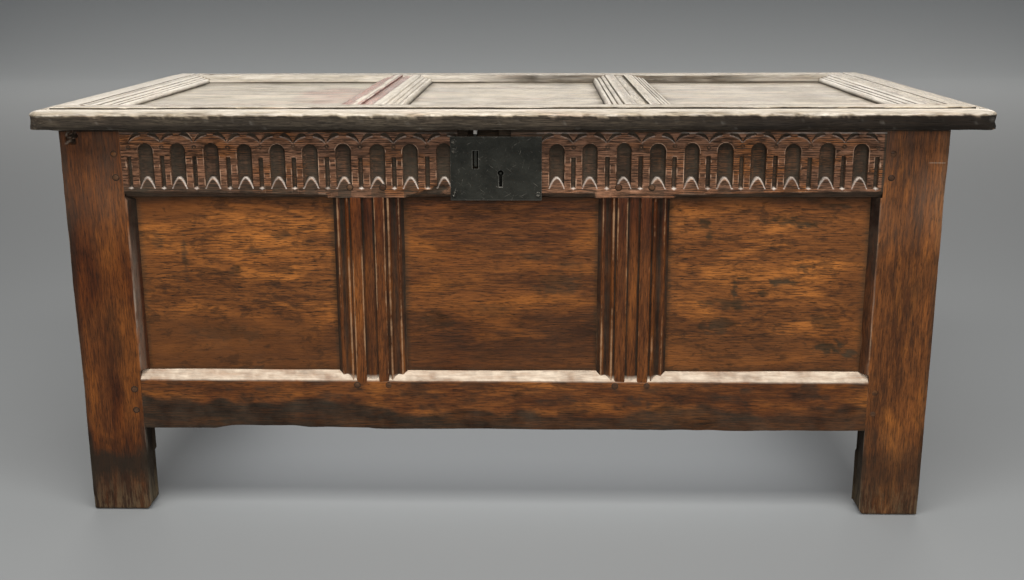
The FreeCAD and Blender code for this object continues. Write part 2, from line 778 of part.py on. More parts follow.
def make_lid():
    slab = lid_slab()
    bay_list = lid_bays()
    grooves = [lid_panel_box(bay, groove_depth) for bay in bay_list]
    holes = [lid_peg(x, y, lid_peg_radius + peg_clearance) for x, y in lid_peg_places()]
    waste = grooves + holes + lid_iron_waste()
    z0 = lid_bottom
    z1 = lid_top
    down = -axis_z
    muntin_mortises = []
    for x in lid_muntin_places:
        muntin_mortises += lid_muntin_tenons(x, mortise_room)

    front = box(lid_left, lid_right, lid_front, lid_rail_back, z0, z1).common(slab)
    front = front.cut(waste + stile_tenons(mortise_room) + muntin_mortises)

    run = axis_y * (carcass_depth - lid_rail_back)
    stile_run = (lid_rail_back, carcass_depth, z0, z1)
    left = box(lid_left, left_opening, *stile_run).common(slab)
    left = left.cut([moulding_cutter(FreeCAD.Vector(left_opening, lid_rail_back, z1), -axis_x, down, run),
                     edge_line(lid_left + lid_groove_inset, 1)])
    right = box(right_opening, lid_right, *stile_run).common(slab)
    right = right.cut([moulding_cutter(FreeCAD.Vector(right_opening, lid_rail_back, z1), axis_x, down, run),
                       edge_line(lid_right - lid_groove_inset, 1)])

    # The rear rail's ends are fitted over the stiles' mouldings, and the muntins over the rail's.
    rear_start = left_opening - moulding_width
    rear_end = right_opening + moulding_width
    rear_body = box(rear_start, rear_end, lid_rear_front, carcass_depth, z0, z1)
    rear_body = rear_body.cut([moulding_cutter(FreeCAD.Vector(rear_start, lid_rear_front, z1), axis_y, down,
                                               axis_x * (rear_end - rear_start)), left, right])
    rear_body = largest(rear_body)
    rear = joined([rear_body] + rear_rail_tenons(0)).cut(waste + muntin_mortises)
    left_tenon, right_tenon = stile_tenons(0)
    stile_waste = waste + rear_rail_tenons(mortise_room)
    left = joined([left, left_tenon]).cut(stile_waste)
    right = joined([right, right_tenon]).cut(stile_waste)

    muntins = []
    for x in lid_muntin_places:
        half = lid_muntin_width / 2
        reach = axis_y * (lid_rear_front + moulding_width - lid_rail_back)
        bar = box(x - half, x + half, lid_rail_back, lid_rail_back + reach.Length, z0, z1)
        bar = bar.cut([moulding_cutter(FreeCAD.Vector(x - half, lid_rail_back, z1), axis_x, down, reach),
                       moulding_cutter(FreeCAD.Vector(x + half, lid_rail_back, z1), -axis_x, down, reach),
                       channel_cutter(FreeCAD.Vector(x, lid_rail_back, z1), axis_x, down, reach),
                       rear_body])
        muntins.append(joined([largest(bar)] + lid_muntin_tenons(x, 0)).cut(waste))

    panels = [lid_panel_box(bay, panel_lap) for bay in bay_list]
    pegs = [lid_peg(x, y, lid_peg_radius) for x, y in lid_peg_places()]
    return front, rear, left, right, muntins, panels, pegs


# Hinges.


def knuckle(x0, x1):
    barrel = rod(barrel_radius, x1 - x0, (x0, pin_y, pin_z), (1, 0, 0))
    return barrel


def pin_bore(x):
    start = (x - barrel_width / 2 - 2 * lip, pin_y, pin_z)
    return rod(pin_radius + pin_clearance, barrel_width + 4 * lip, start, (1, 0, 0))


def make_strap(x):
    half = barrel_width / 2
    inner = middle_knuckle / 2 + knuckle_gap
    strap = strap_outline_cutter(x, 0)
    shoulder = strap_shoulder(x, 0)
    gap = rod(barrel_radius + barrel_gap, 2 * inner, (x - inner, pin_y, pin_z), (1, 0, 0))
    gap_box = box(x - inner, x + inner, carcass_depth, pin_y + lip, lid_bottom - lip,
                  lid_bottom + strap_thickness + lip)
    knuckles = [knuckle(x - half, x - inner), knuckle(x + inner, x + half)]
    holes = [rod(nail_radius, strap_thickness + 2 * lip, (px, py, lid_bottom - lip), (0, 0, 1))
             for px, py in strap_nail_places(x)]
    return joined([strap, shoulder] + knuckles).cut([gap, gap_box, pin_bore(x)] + holes)


def leaf_nail_places(x):
    spread = barrel_width / 2 - nail_head_radius - lip
    low = pin_z - leaf_height + nail_head_radius + lip
    return [(x - spread, low), (x + spread, low), (x, pin_z - leaf_height / 2)]


def make_leaf(x):
    half = barrel_width / 2
    inner = middle_knuckle / 2
    plate_back = carcass_depth + strap_thickness
    plate = box(x - half, x + half, carcass_depth, plate_back, pin_z - leaf_height, pin_z)
    waste = []
    for x0, x1 in ((x - half - lip, x - inner), (x + inner, x + half + lip)):
        waste.append(rod(barrel_radius + barrel_gap, x1 - x0, (x0, pin_y, pin_z), (1, 0, 0)))
    corner_low = pin_z - barrel_radius - barrel_gap
    waste.append(box(x - half - lip, x - inner, carcass_depth - lip, pin_y, corner_low, pin_z + lip))
    waste.append(box(x + inner, x + half + lip, carcass_depth - lip, pin_y, corner_low, pin_z + lip))
    plate = plate.cut(waste)
    holes = [rod(nail_radius, strap_thickness + 2 * lip, (px, carcass_depth - lip, pz), (0, 1, 0))
             for px, pz in leaf_nail_places(x)]
    return joined([plate, knuckle(x - inner, x + inner)]).cut([pin_bore(x)] + holes)


def hinge_pin(x):
    return rod(pin_radius, barrel_width + 2 * lip, (x - barrel_width / 2 - lip, pin_y, pin_z), (1, 0, 0))


# Floor.


def floor_limits():
    x_edge = half_length - rail_thickness + floor_rebate
    y0 = rail_thickness - floor_rebate
    return x_edge, y0, carcass_depth - y0


def floor_boards(stiles):
    x_edge, y0, y1 = floor_limits()
    width = 2 * x_edge / floor_board_count
    boards = []
    for step in range(floor_board_count):
        x0 = -x_edge + step * width + board_gap / 2
        board = box(x0, x0 + width - board_gap, y0, y1, foot_height, foot_height + floor_thickness)
        boards.append(board.cut(stiles))
    return boards


def floor_nails():
    x_edge, y0, y1 = floor_limits()
    width = 2 * x_edge / floor_board_count
    inset = floor_rebate / 2
    nails = []
    for step in range(floor_board_count):
        left = -x_edge + step * width
        for x in (left + board_nail_inset, left + width - board_nail_inset):
            end_board = abs(x) + nail_head_radius > half_length - stile_width
            rows = () if end_board else (y0 + inset, y1 - inset)
            nails += [nail((x, y, foot_height), (0, 0, 1), nail_length) for y in rows]
    for side in (-1, 1):
        x = side * (x_edge - inset)
        for y in (stile_depth + board_nail_inset, carcass_depth - stile_depth - board_nail_inset):
            nails.append(nail((x, y, foot_height), (0, 0, 1), nail_length))
    return nails


# Everything together.


def make_frames():
    muntins = (-muntin_offset, muntin_offset)
    front = side_frame(long_span, muntins, muntin_width, long_tenon_length, strip_width, True)
    back = side_frame(long_span, muntins, muntin_width, long_tenon_length, 0, False)
    end = side_frame(side_span, (0,), side_muntin_width, side_tenon_length, 0, False)
    return {"front": front, "back": back, "left": end, "right": end}


nodes = {}
frames = make_frames()
bay_names = {"front": ("left", "middle", "right"), "back": ("left", "middle", "right"),
             "left": ("rear", "front"), "right": ("front", "rear")}
muntin_names = {"front": ("_left", "_right"), "back": ("_left", "_right"), "left": ("",), "right": ("",)}

lock_nails = [nail((x, -plate_thickness, z), (0, 1, 0), plate_nail_length) for x, z in plate_nail_places()]
leaf_nails = []
for hinge_side in (-1, 1):
    for leaf_x, leaf_z in leaf_nail_places(hinge_side * hinge_offset):
        start = (leaf_x, carcass_depth + strap_thickness, leaf_z)
        leaf_nails.append(nail(start, (0, -1, 0), leaf_nail_length))
board_nails = floor_nails()

for x_side, x_name in ((-1, "left"), (1, "right")):
    for y_side, y_name in ((-1, "front"), (1, "rear")):
        nodes["stile_" + y_name + "_" + x_name] = make_stile(x_side, y_side, frames)

for side, frame in frames.items():
    nodes[side + "_top_rail"] = carried(frame["top"], side)
    nodes[side + "_bottom_rail"] = carried(frame["bottom"], side).cut(board_nails)
    for tag, shape in zip(muntin_names[side], frame["muntins"]):
        nodes[side + "_muntin" + tag] = carried(shape, side)
    for tag, shape in zip(bay_names[side], frame["panels"]):
        nodes[side + "_panel_" + tag] = carried(shape, side)

nodes["front_top_rail"] = nodes["front_top_rail"].cut(frieze_cutters() + lock_hollow() + lock_nails)
nodes["back_top_rail"] = nodes["back_top_rail"].cut(leaf_nails)
nodes["front_pegs"] = Part.makeCompound([carried(p, "front") for p in frames["front"]["pegs"]])
nodes["back_pegs"] = Part.makeCompound([carried(p, "back") for p in frames["back"]["pegs"]])
nodes["side_pegs"] = Part.makeCompound([carried(p, side) for side in ("left", "right")
                                        for p in frames[side]["pegs"]])

stile_boxes = [stile_box(x_side, y_side) for x_side in (-1, 1) for y_side in (-1, 1)]
for number, board in enumerate(floor_boards(stile_boxes), 1):
    nodes["floor_board_" + str(number)] = board.cut(board_nails)
nodes["floor_nails"] = Part.makeCompound(board_nails)

nodes["lock_plate"] = make_lock_plate()
nodes["lock_nails"] = Part.makeCompound(lock_nails)
nodes["lock_bolt"] = make_bolt()
nodes["lock_keepers"] = Part.makeCompound([make_keeper(x) for x in keeper_places])
nodes["lock_spring"] = make_spring()
nodes["lock_bridge"] = make_bridge()

lid_front_rail, lid_rear_rail, lid_left_stile, lid_right_stile, lid_muntins, lid_panels, lid_pegs = make_lid()
nodes["lid_front_rail"] = lid_front_rail
nodes["lid_rear_rail"] = lid_rear_rail
nodes["lid_stile_left"] = lid_left_stile
nodes["lid_stile_right"] = lid_right_stile
for tag, shape in zip(("left", "right"), lid_muntins):
    nodes["lid_muntin_" + tag] = shape
for tag, shape in zip(("left", "middle", "right"), lid_panels):
    nodes["lid_panel_" + tag] = shape
nodes["lid_pegs"] = Part.makeCompound(lid_pegs)
nodes["lid_staple"] = make_staple()
nodes["lid_nails"] = Part.makeCompound(lid_nails())

for hinge_side, tag in ((-1, "left"), (1, "right")):
    nodes["hinge_strap_" + tag] = make_strap(hinge_side * hinge_offset)
    nodes["hinge_leaf_" + tag] = make_leaf(hinge_side * hinge_offset)
nodes["hinge_pins"] = Part.makeCompound([hinge_pin(side * hinge_offset) for side in (-1, 1)])
nodes["hinge_leaf_nails"] = Part.makeCompound(leaf_nails)

# The finished part stands with its origin under the middle of its outer size.
outer_back = pin_y + barrel_radius
to_origin = FreeCAD.Vector(-(lid_left + lid_right) / 2, -(lid_front + outer_back) / 2, 0)

os.makedirs("parts", exist_ok=True)
for name, shape in nodes.items():
    placed = shape.copy()
    placed.translate(to_origin)
    placed.exportStep("parts/" + name + ".step")
print(len(nodes), "nodes written")
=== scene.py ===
import math

import bmesh
import bpy
import numpy as np
from mathutils import Matrix, Vector


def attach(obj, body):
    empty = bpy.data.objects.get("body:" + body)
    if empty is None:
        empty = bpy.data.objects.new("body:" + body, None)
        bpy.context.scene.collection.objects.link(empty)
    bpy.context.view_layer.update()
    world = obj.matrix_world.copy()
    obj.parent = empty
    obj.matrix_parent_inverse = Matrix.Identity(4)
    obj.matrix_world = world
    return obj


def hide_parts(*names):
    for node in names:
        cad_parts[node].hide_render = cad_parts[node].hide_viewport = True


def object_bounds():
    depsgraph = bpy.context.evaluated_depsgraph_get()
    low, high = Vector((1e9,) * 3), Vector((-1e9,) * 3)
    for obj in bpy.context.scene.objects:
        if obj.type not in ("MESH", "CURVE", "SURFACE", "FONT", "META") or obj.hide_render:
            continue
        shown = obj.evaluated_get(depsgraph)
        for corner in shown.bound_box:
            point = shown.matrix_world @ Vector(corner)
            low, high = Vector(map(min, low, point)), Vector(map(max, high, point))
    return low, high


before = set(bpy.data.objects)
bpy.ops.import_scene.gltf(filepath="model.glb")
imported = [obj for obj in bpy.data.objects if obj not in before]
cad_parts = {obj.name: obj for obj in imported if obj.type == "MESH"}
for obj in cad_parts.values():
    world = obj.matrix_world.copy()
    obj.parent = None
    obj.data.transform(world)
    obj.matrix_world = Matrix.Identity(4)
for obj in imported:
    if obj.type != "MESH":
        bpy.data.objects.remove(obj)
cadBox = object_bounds()
print("frame loaded")

# Shapes are worked out in millimetres from the middle of the front's foot line:
# x to the right, y into the chest, z up. toFrame moves them to the frame, in metres.
footLineMiddle = np.array([11.5, 292.7, 0.0])
sharpAngle = math.radians(40)  # edges that turn by more than this are drawn crisp


def toFrame(points):
    return (points - footLineMiddle) / 1000


# Values held between 0 and 1.
def held(values):
    return np.clip(values, 0, 1)


# A ramp from 0 at the start to 1 at the end, held outside them. It falls where the end is the lower.
def ramp(values, start, end):
    return held((values - start) / (end - start))


# A hump e^-|v/width|^power, which is 1 in its middle.
def hump(values, width, power=2):
    return np.exp(-np.abs(values / width) ** power)


# Smooth random values from -1 to 1: seeded lattice corners, `size` apart, are blended by 3t²-2t³.
def patchy(points, seed, size):
    cells = 24
    table = np.random.RandomState(seed).uniform(-1, 1, (cells,) * 3)
    spot = points / np.asarray(size, float) + 1000
    cell = np.floor(spot).astype(int)
    t = spot - cell
    t = t * t * (3 - 2 * t)
    total = 0
    for corner in np.ndindex(2, 2, 2):
        share = np.prod(np.where(corner, t, 1 - t), axis=-1)
        i, j, k = np.moveaxis((cell + corner) % cells, -1, 0)
        total = total + share * table[i, j, k]
    return total


# An even level broken up by a patchy field, held between 0 and 1.
def mottled(points, seed, size, level=0.0, swing=1.0):
    return held(level + swing * patchy(points, seed, size))


# Three patchy fields side by side: how far a hand-planed surface sways from true.
def swayOf(points, seed, size):
    return np.stack([patchy(points, seed + k, size) for k in (0, 50, 100)], -1)


# A closed row of values averaged under a bell curve `width` wide.
def bellBlur(values, spacing, width):
    count = len(values)
    reach = (np.arange(count) + count // 2) % count - count // 2
    bell = np.exp(-0.5 * (reach * spacing / width) ** 2)
    bell /= bell.sum()
    spectrum = np.fft.rfft(bell)
    return np.fft.irfft(np.fft.rfft(values, axis=0) * spectrum.reshape(-1, *[1] * (values.ndim - 1)), count, axis=0)


outlineWalk = {"step": 0.25, "broad": 2.6, "bendBlur": 0.6, "bendPoints": 3.2}


# Walks round a closed outline in fine even steps, softens it twice (fresh and worn), and keeps more
# points where it bends. Bulge says how far each point stands out of a broad average: + arris, - hollow.
def softLoop(outline, fresh, worn, spacing, marks=()):
    ring = np.array(list(outline) + [outline[0]], float)
    x, y = ring.T
    if np.sum(x[:-1] * y[1:] - x[1:] * y[:-1]) < 0:
        ring = ring[::-1]
    walk = np.concatenate([[0], np.cumsum(np.hypot(*np.diff(ring, axis=0).T))])
    count = int(walk[-1] / outlineWalk["step"])
    fine = walk[-1] / count
    s = np.arange(count) * fine
    loop = np.stack([np.interp(s, walk, ring[:, k]) for k in (0, 1)], -1)
    crisp, tired, broad = [bellBlur(loop, fine, width) for width in (fresh, worn, outlineWalk["broad"])]
    step = np.roll(crisp, -1, 0) - np.roll(crisp, 1, 0)
    normal = np.stack([step[:, 1], -step[:, 0]], -1) / np.hypot(*step.T)[:, None]
    heading = np.unwrap(np.arctan2(step[:, 1], step[:, 0]))
    bend = np.abs(np.diff(heading, append=heading[0] + 2 * math.pi))
    weight = np.cumsum(fine / spacing + bellBlur(bend, fine, outlineWalk["bendBlur"]) * outlineWalk["bendPoints"])
    picks = np.searchsorted(weight, np.arange(0, weight[-1], 1.0))
    near = [np.argmin(np.hypot(*(crisp - mark).T)) for mark in marks]
    picks = np.unique(np.concatenate([picks, near]).astype(int) % count)
    bulge = np.sum((crisp - broad) * normal, -1)
    return crisp[picks], tired[picks], normal[picks], bulge[picks]


# Places along a length: even steps, drawn together over the last few millimetres so that the ends can turn.
def stations(start, end, step, turn, extra=()):
    ends = np.array([0, 0.1, 0.35, 0.65, 1.0]) * turn
    middle = np.linspace(start + turn, end - turn, max(2, int((end - start) / step)))
    return np.unique(np.concatenate([start + ends, middle, end - ends, np.array(extra, float)]))


# A timber: a softened closed outline carried along one axis. Arrises swap between their fresh and worn
# shapes by a patchy field, the ends turn in on a quarter circle, and the whole sways a little.
def carry(outline, axis, start, end, seed, fresh=0.6, worn=2.4, spacing=7, step=9, turn=1.2, sway=0.35,
          wearSize=(70, 70, 70), marks=(), extra=()):
    crisp, tired, normal, bulge = softLoop(outline, fresh, worn, spacing, marks)
    along = stations(start, end, step, turn, extra)
    others = [k for k in range(3) if k != axis]
    rings = np.zeros((len(along), len(crisp), 3))
    rings[..., axis] = along[:, None]
    rings[..., others] = crisp
    tiredness = held(0.25 + 0.9 * patchy(rings, seed, wearSize) + 0.3 * patchy(rings, seed + 3, 17))
    flat = crisp + (tired - crisp) * tiredness[..., None]
    fromEnds = np.minimum(along - start, end - along)
    inset = turn - np.sqrt(turn ** 2 - (turn - np.clip(fromEnds, 0, turn)) ** 2)
    rings[..., others] = flat - normal * inset[:, None, None]
    rings += sway * swayOf(rings, seed + 11, 110) + sway * 0.35 * swayOf(rings, seed + 23, 28)
    wear = held(bulge / 0.7) * (0.45 + 0.55 * tiredness)
    wear = np.maximum(wear, 0.6 * held(1 - fromEnds / 3.0)[:, None] * (turn > 1))
    # Dirt and painted shade in the outline's hollows.
    dirtAndShade = held(-bulge / 0.4) * mottled(rings, seed + 31, wearSize, 0.9, 0.4)
    return {"rings": rings, "wear": wear, "dirtAndShade": dirtAndShade}


# Adds to a shape's mask where the new amount is the greater.
def deepen(shape, mask, amount):
    shape[mask] = np.maximum(shape[mask], amount)


# Rounds one long corner in plan: what lies past a quarter circle of this radius is drawn onto it.
def roundCorner(shape, axisA, edgeA, signA, axisB, edgeB, signB, radius, below=math.inf):
    points = shape["rings"]
    a = signA * (points[..., axisA] - edgeA) + radius
    b = signB * (points[..., axisB] - edgeB) + radius
    far = np.hypot(a, b)
    mask = (a > 0) & (b > 0) & (far > radius) & (points[..., 2] < below)
    pull = np.where(mask, radius / np.maximum(far, 1e-6), 1.0)
    points[..., axisA] = np.where(mask, edgeA + signA * (a * pull - radius), points[..., axisA])
    points[..., axisB] = np.where(mask, edgeB + signB * (b * pull - radius), points[..., axisB])


# Four-sided faces between neighbouring rings, and the row of corners in each ring.
def ringFaces(count, around):
    corner = np.arange(count * around).reshape(count, around)
    onward = np.roll(corner, -1, 1)
    return np.stack([corner[:-1], onward[:-1], onward[1:], corner[1:]], -1).reshape(-1, 4), corner


# Gives a mesh its finish and masks, and links it as a piece on a body, standing for CAD nodes.
def addPiece(name, mesh, body, nodes, finishes, masks={}, sharp=True):
    for key, values in masks.items():
        attribute = mesh.attributes.new(key, "FLOAT", "POINT")
        attribute.data.foreach_set("value", values.astype(np.float32).ravel())
    mesh.polygons.foreach_set("use_smooth", np.ones(len(mesh.polygons), bool))
    if sharp:
        mesh.set_sharp_from_angle(angle=sharpAngle)
    for finish in finishes:
        mesh.materials.append(finish)
    piece = bpy.data.objects.new(name, mesh)
    bpy.context.scene.collection.objects.link(piece)
    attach(piece, body)
    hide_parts(*nodes)
    return piece


# What lies inside these counts as the chest's inner face, which was never waxed. The joint faces
# under the lid count as outside.
innerSpace = {"halfWidth": 609, "front": 17, "back": 583, "floor": 134, "roof": 598}
lidUnderside = {"roof": 586.8, "left": -655, "right": 678, "front": -21, "back": 595}
slotNames = {"frameOak": "frame_oak", "friezeOak": "frame_oak", "panelOak": "panel_oak", "wornPanelOak": "panel_oak",
             "lidOak": "lid_oak", "redLidOak": "lid_oak", "innerOak": "inner_oak"}


# Puts a closed shape into Blender: rings joined by four-sided faces, and one face over each end.
# The finish's last letter is the axis of its grain, and the board's number picks the wood.
def addTimber(name, shape, finish, node, board, shade=0.15):
    rings = shape["rings"]
    count, around = rings.shape[:2]
    points = rings.reshape(-1, 3)
    quads, corner = ringFaces(count, around)
    caps = [corner[0][::-1], corner[-1]]
    a, b, c, d = points[quads].swapaxes(0, 1)
    volume = np.sum(a * np.cross(b, c)) + np.sum(a * np.cross(c, d))
    if volume < 0:
        quads = quads[:, ::-1]
        caps = [cap[::-1] for cap in caps]
    mesh = bpy.data.meshes.new(name)
    mesh.vertices.add(len(points))
    inBox = np.clip(toFrame(points), *cadBox)
    mesh.vertices.foreach_set("co", inBox.astype(np.float32).ravel())
    loops = np.concatenate([quads.ravel(), *caps]).astype(np.int32)
    starts = np.concatenate([np.arange(0, quads.size, 4), [quads.size, quads.size + around]]).astype(np.int32)
    mesh.loops.add(len(loops))
    mesh.loops.foreach_set("vertex_index", loops)
    mesh.polygons.add(len(starts))
    mesh.polygons.foreach_set("loop_start", starts)
    mesh.update(calc_edges=True)
    mesh.validate()
    x, y, z = points.T
    slotName = slotNames[finish[:-1]]
    body = "lid" if slotName == "lid_oak" else "carcass"
    space, under = innerSpace, lidUnderside
    within = (np.abs(x) < space["halfWidth"]) & (y > shape.get("innerFrom", space["front"])) & (y < space["back"])
    within &= (z > space["floor"]) & (z < space["roof"])
    if body == "lid":
        within |= (z < under["roof"]) & (x > under["left"]) & (x < under["right"]) \
            & (y > under["front"]) & (y < under["back"])
    plain = np.zeros(rings.shape[:2])
    masks = {
        "wear": shape["wear"], "dirtAndShade": held(shape["dirtAndShade"]), "pale": held(shape.get("pale", plain)),
        "shade": held(shape.get("shade", plain) + shade), "inner": within, "calm": held(shape.get("calm", plain)),
        "board": np.full(len(points), float(board)),
    }
    addPiece(name, mesh, body, [node], [oak[finish]], masks)


# A new node, with its values or links by input and its settings by name.
def addNode(tree, kind, values=(), **settings):
    node = tree.nodes.new(kind)
    for key, value in settings.items():
        setattr(node, key, value)
    for key, value in dict(values).items():
        if isinstance(value, bpy.types.NodeSocket):
            tree.links.new(value, node.inputs[key])
        else:
            node.inputs[key].default_value = value
    return node


# The sums that finishes are made of, bound to one node tree.
def nodeTools(tree):
    def chain(operation):
        def joined(first, *others, clamp=False):
            for number, other in enumerate(others, 1):
                first = addNode(tree, "ShaderNodeMath", {0: first, 1: other}, operation=operation,
                                use_clamp=clamp and number == len(others)).outputs[0]
            return first
        return joined

    def span(value, low, high, toLow=0.0, toHigh=1.0):  # held at the ends
        return addNode(tree, "ShaderNodeMapRange", {0: value, 1: low, 2: high, 3: toLow, 4: toHigh}).outputs[0]

    def noise(vector, scale, detail=3.0, roughness=0.55, distortion=0.0):
        values = {"Vector": vectorNode(tree, "MULTIPLY", vector, scale), "Scale": 1.0, "Detail": detail,
                  "Roughness": roughness, "Distortion": distortion}
        return addNode(tree, "ShaderNodeTexNoise", values).outputs[0]

    def blend(factor, a, b, mode="MIX"):
        return addNode(tree, "ShaderNodeMix", {0: factor, 6: a, 7: b}, data_type="RGBA", blend_type=mode).outputs[2]

    return chain("ADD"), chain("SUBTRACT"), chain("MULTIPLY"), span, noise, blend


# A sum on vectors. SCALE takes a plain number.
def vectorNode(tree, operation, vector, other):
    slot = 3 if operation == "SCALE" else 1
    return addNode(tree, "ShaderNodeVectorMath", {0: vector, slot: other}, operation=operation).outputs[0]


def combineNode(tree, values):
    return addNode(tree, "ShaderNodeCombineXYZ", values).outputs[0]


# A node group that takes a vector and the named numbers, and puts out the named masks.
def newGroup(name, inputs, outputs):
    group = bpy.data.node_groups.new(name, "ShaderNodeTree")
    group.interface.new_socket(name="Vector", in_out="INPUT", socket_type="NodeSocketVector")
    for label, value in inputs.items():
        socket = group.interface.new_socket(name=label, in_out="INPUT", socket_type="NodeSocketFloat")
        socket.default_value = value
    for label in outputs:
        group.interface.new_socket(name=label, in_out="OUTPUT", socket_type="NodeSocketFloat")
    return group, group.nodes.new("NodeGroupInput").outputs, group.nodes.new("NodeGroupOutput").inputs


def placeGroup(tree, group, values):
    return addNode(tree, "ShaderNodeGroup", values, node_tree=group).outputs


# Oak figure on a board whose grain runs along the first coordinate: broad figure, fine streaks,
# open pores and slow stains. Each board is cut from another place, by its number.
def makeOakFigure():
    sizes = {"Board": 0.0, "Pore size": 1.0, "Smudge size": 1.0}
    group, source, sink = newGroup("oakFigure", sizes, ("Figure", "Streaks", "Pores", "Smudges", "Glow", "Mottle"))
    plus, minus, times, span, noise, blend = nodeTools(group)
    offset = combineNode(group, {k: times(source["Board"], stride) for k, stride in enumerate((1.71, 0.93, 1.37))})
    moved = vectorNode(group, "ADD", source["Vector"], offset)
    drift = combineNode(group, {1: times(noise(moved, (2.2, 7, 7), 2.0), 0.009)})
    grain = vectorNode(group, "ADD", moved, drift)
    finer = vectorNode(group, "SCALE", grain, source["Pore size"])
    spots = vectorNode(group, "SCALE", moved, source["Smudge size"])
    masks = {
        "Figure": noise(grain, (2.0, 30, 30), 4.0, 0.6, 0.2),
        "Streaks": noise(grain, (30, 520, 520), 4.0, 0.7),
        "Pores": span(noise(finer, (62, 620, 620), 2.0, 0.5), 0.56, 0.68),
        "Smudges": noise(spots, (9, 17, 17), 7.0, 0.66, 0.5),
        "Glow": noise(moved, (7, 26, 26), 4.0, 0.6, 0.5),
        "Mottle": noise(grain, (28, 200, 200), 5.0, 0.72),
    }
    for label, mask in masks.items():
        group.links.new(mask, sink[label])
    return group


# Where hands and cloths have rubbed an arris: (wear + noise - 1/2 - (1 - reach)) x 2.6, held.
def makeEdgeRub():
    group, source, sink = newGroup("edgeRub", {"Wear": 0.0, "Size": 60.0, "Reach": 0.5}, ("Rub",))
    plus, minus, times, span, noise, blend = nodeTools(group)
    broken = noise(vectorNode(group, "SCALE", source["Vector"], source["Size"]), (1, 1, 1), 4.0, 0.6)
    push = minus(plus(source["Wear"], minus(broken, 0.5)), minus(1.0, source["Reach"]))
    group.links.new(times(push, 2.6, clamp=True), sink["Rub"])
    return group


# Dust and dirt: thick on what faces up and in hollows, and patchy. Where a look asks for it, as on the lid, what faces
# up also takes a painted sheen.
def makeSettledDustAndSheen():
    group, source, sink = newGroup("settledDustAndSheen", {"Hollow": 0.0, "Upward": 0.3, "Size": 30.0}, ("DustAndSheen",))
    plus, minus, times, span, noise, blend = nodeTools(group)
    up = addNode(group, "ShaderNodeSeparateXYZ", {0: addNode(group, "ShaderNodeNewGeometry").outputs["Normal"]}).outputs[2]
    facing = times(span(up, 0.2, 0.95), source["Upward"])
    spot = vectorNode(group, "SCALE", source["Vector"], source["Size"])
    patches = span(noise(spot, (1, 1, 1), 5.0, 0.65), 0.35, 0.75)
    group.links.new(times(plus(facing, source["Hollow"]), patches, clamp=True), sink["DustAndSheen"])
    return group


oakFigure = makeOakFigure()
edgeRub = makeEdgeRub()
settledDustAndSheen = makeSettledDustAndSheen()

grainOrder = {"x": (0, 1, 2), "y": (1, 0, 2), "z": (2, 0, 1)}


def newMaterial(name):
    material = bpy.data.materials.new(name)
    material.use_nodes = True
    material.node_tree.nodes.clear()
    return material, material.node_tree, addNode(material.node_tree, "ShaderNodeTexCoord").outputs["Object"]


def addShader(tree, values):
    shader = addNode(tree, "ShaderNodeBsdfPrincipled", values)
    tree.links.new(shader.outputs[0], addNode(tree, "ShaderNodeOutputMaterial").inputs[0])
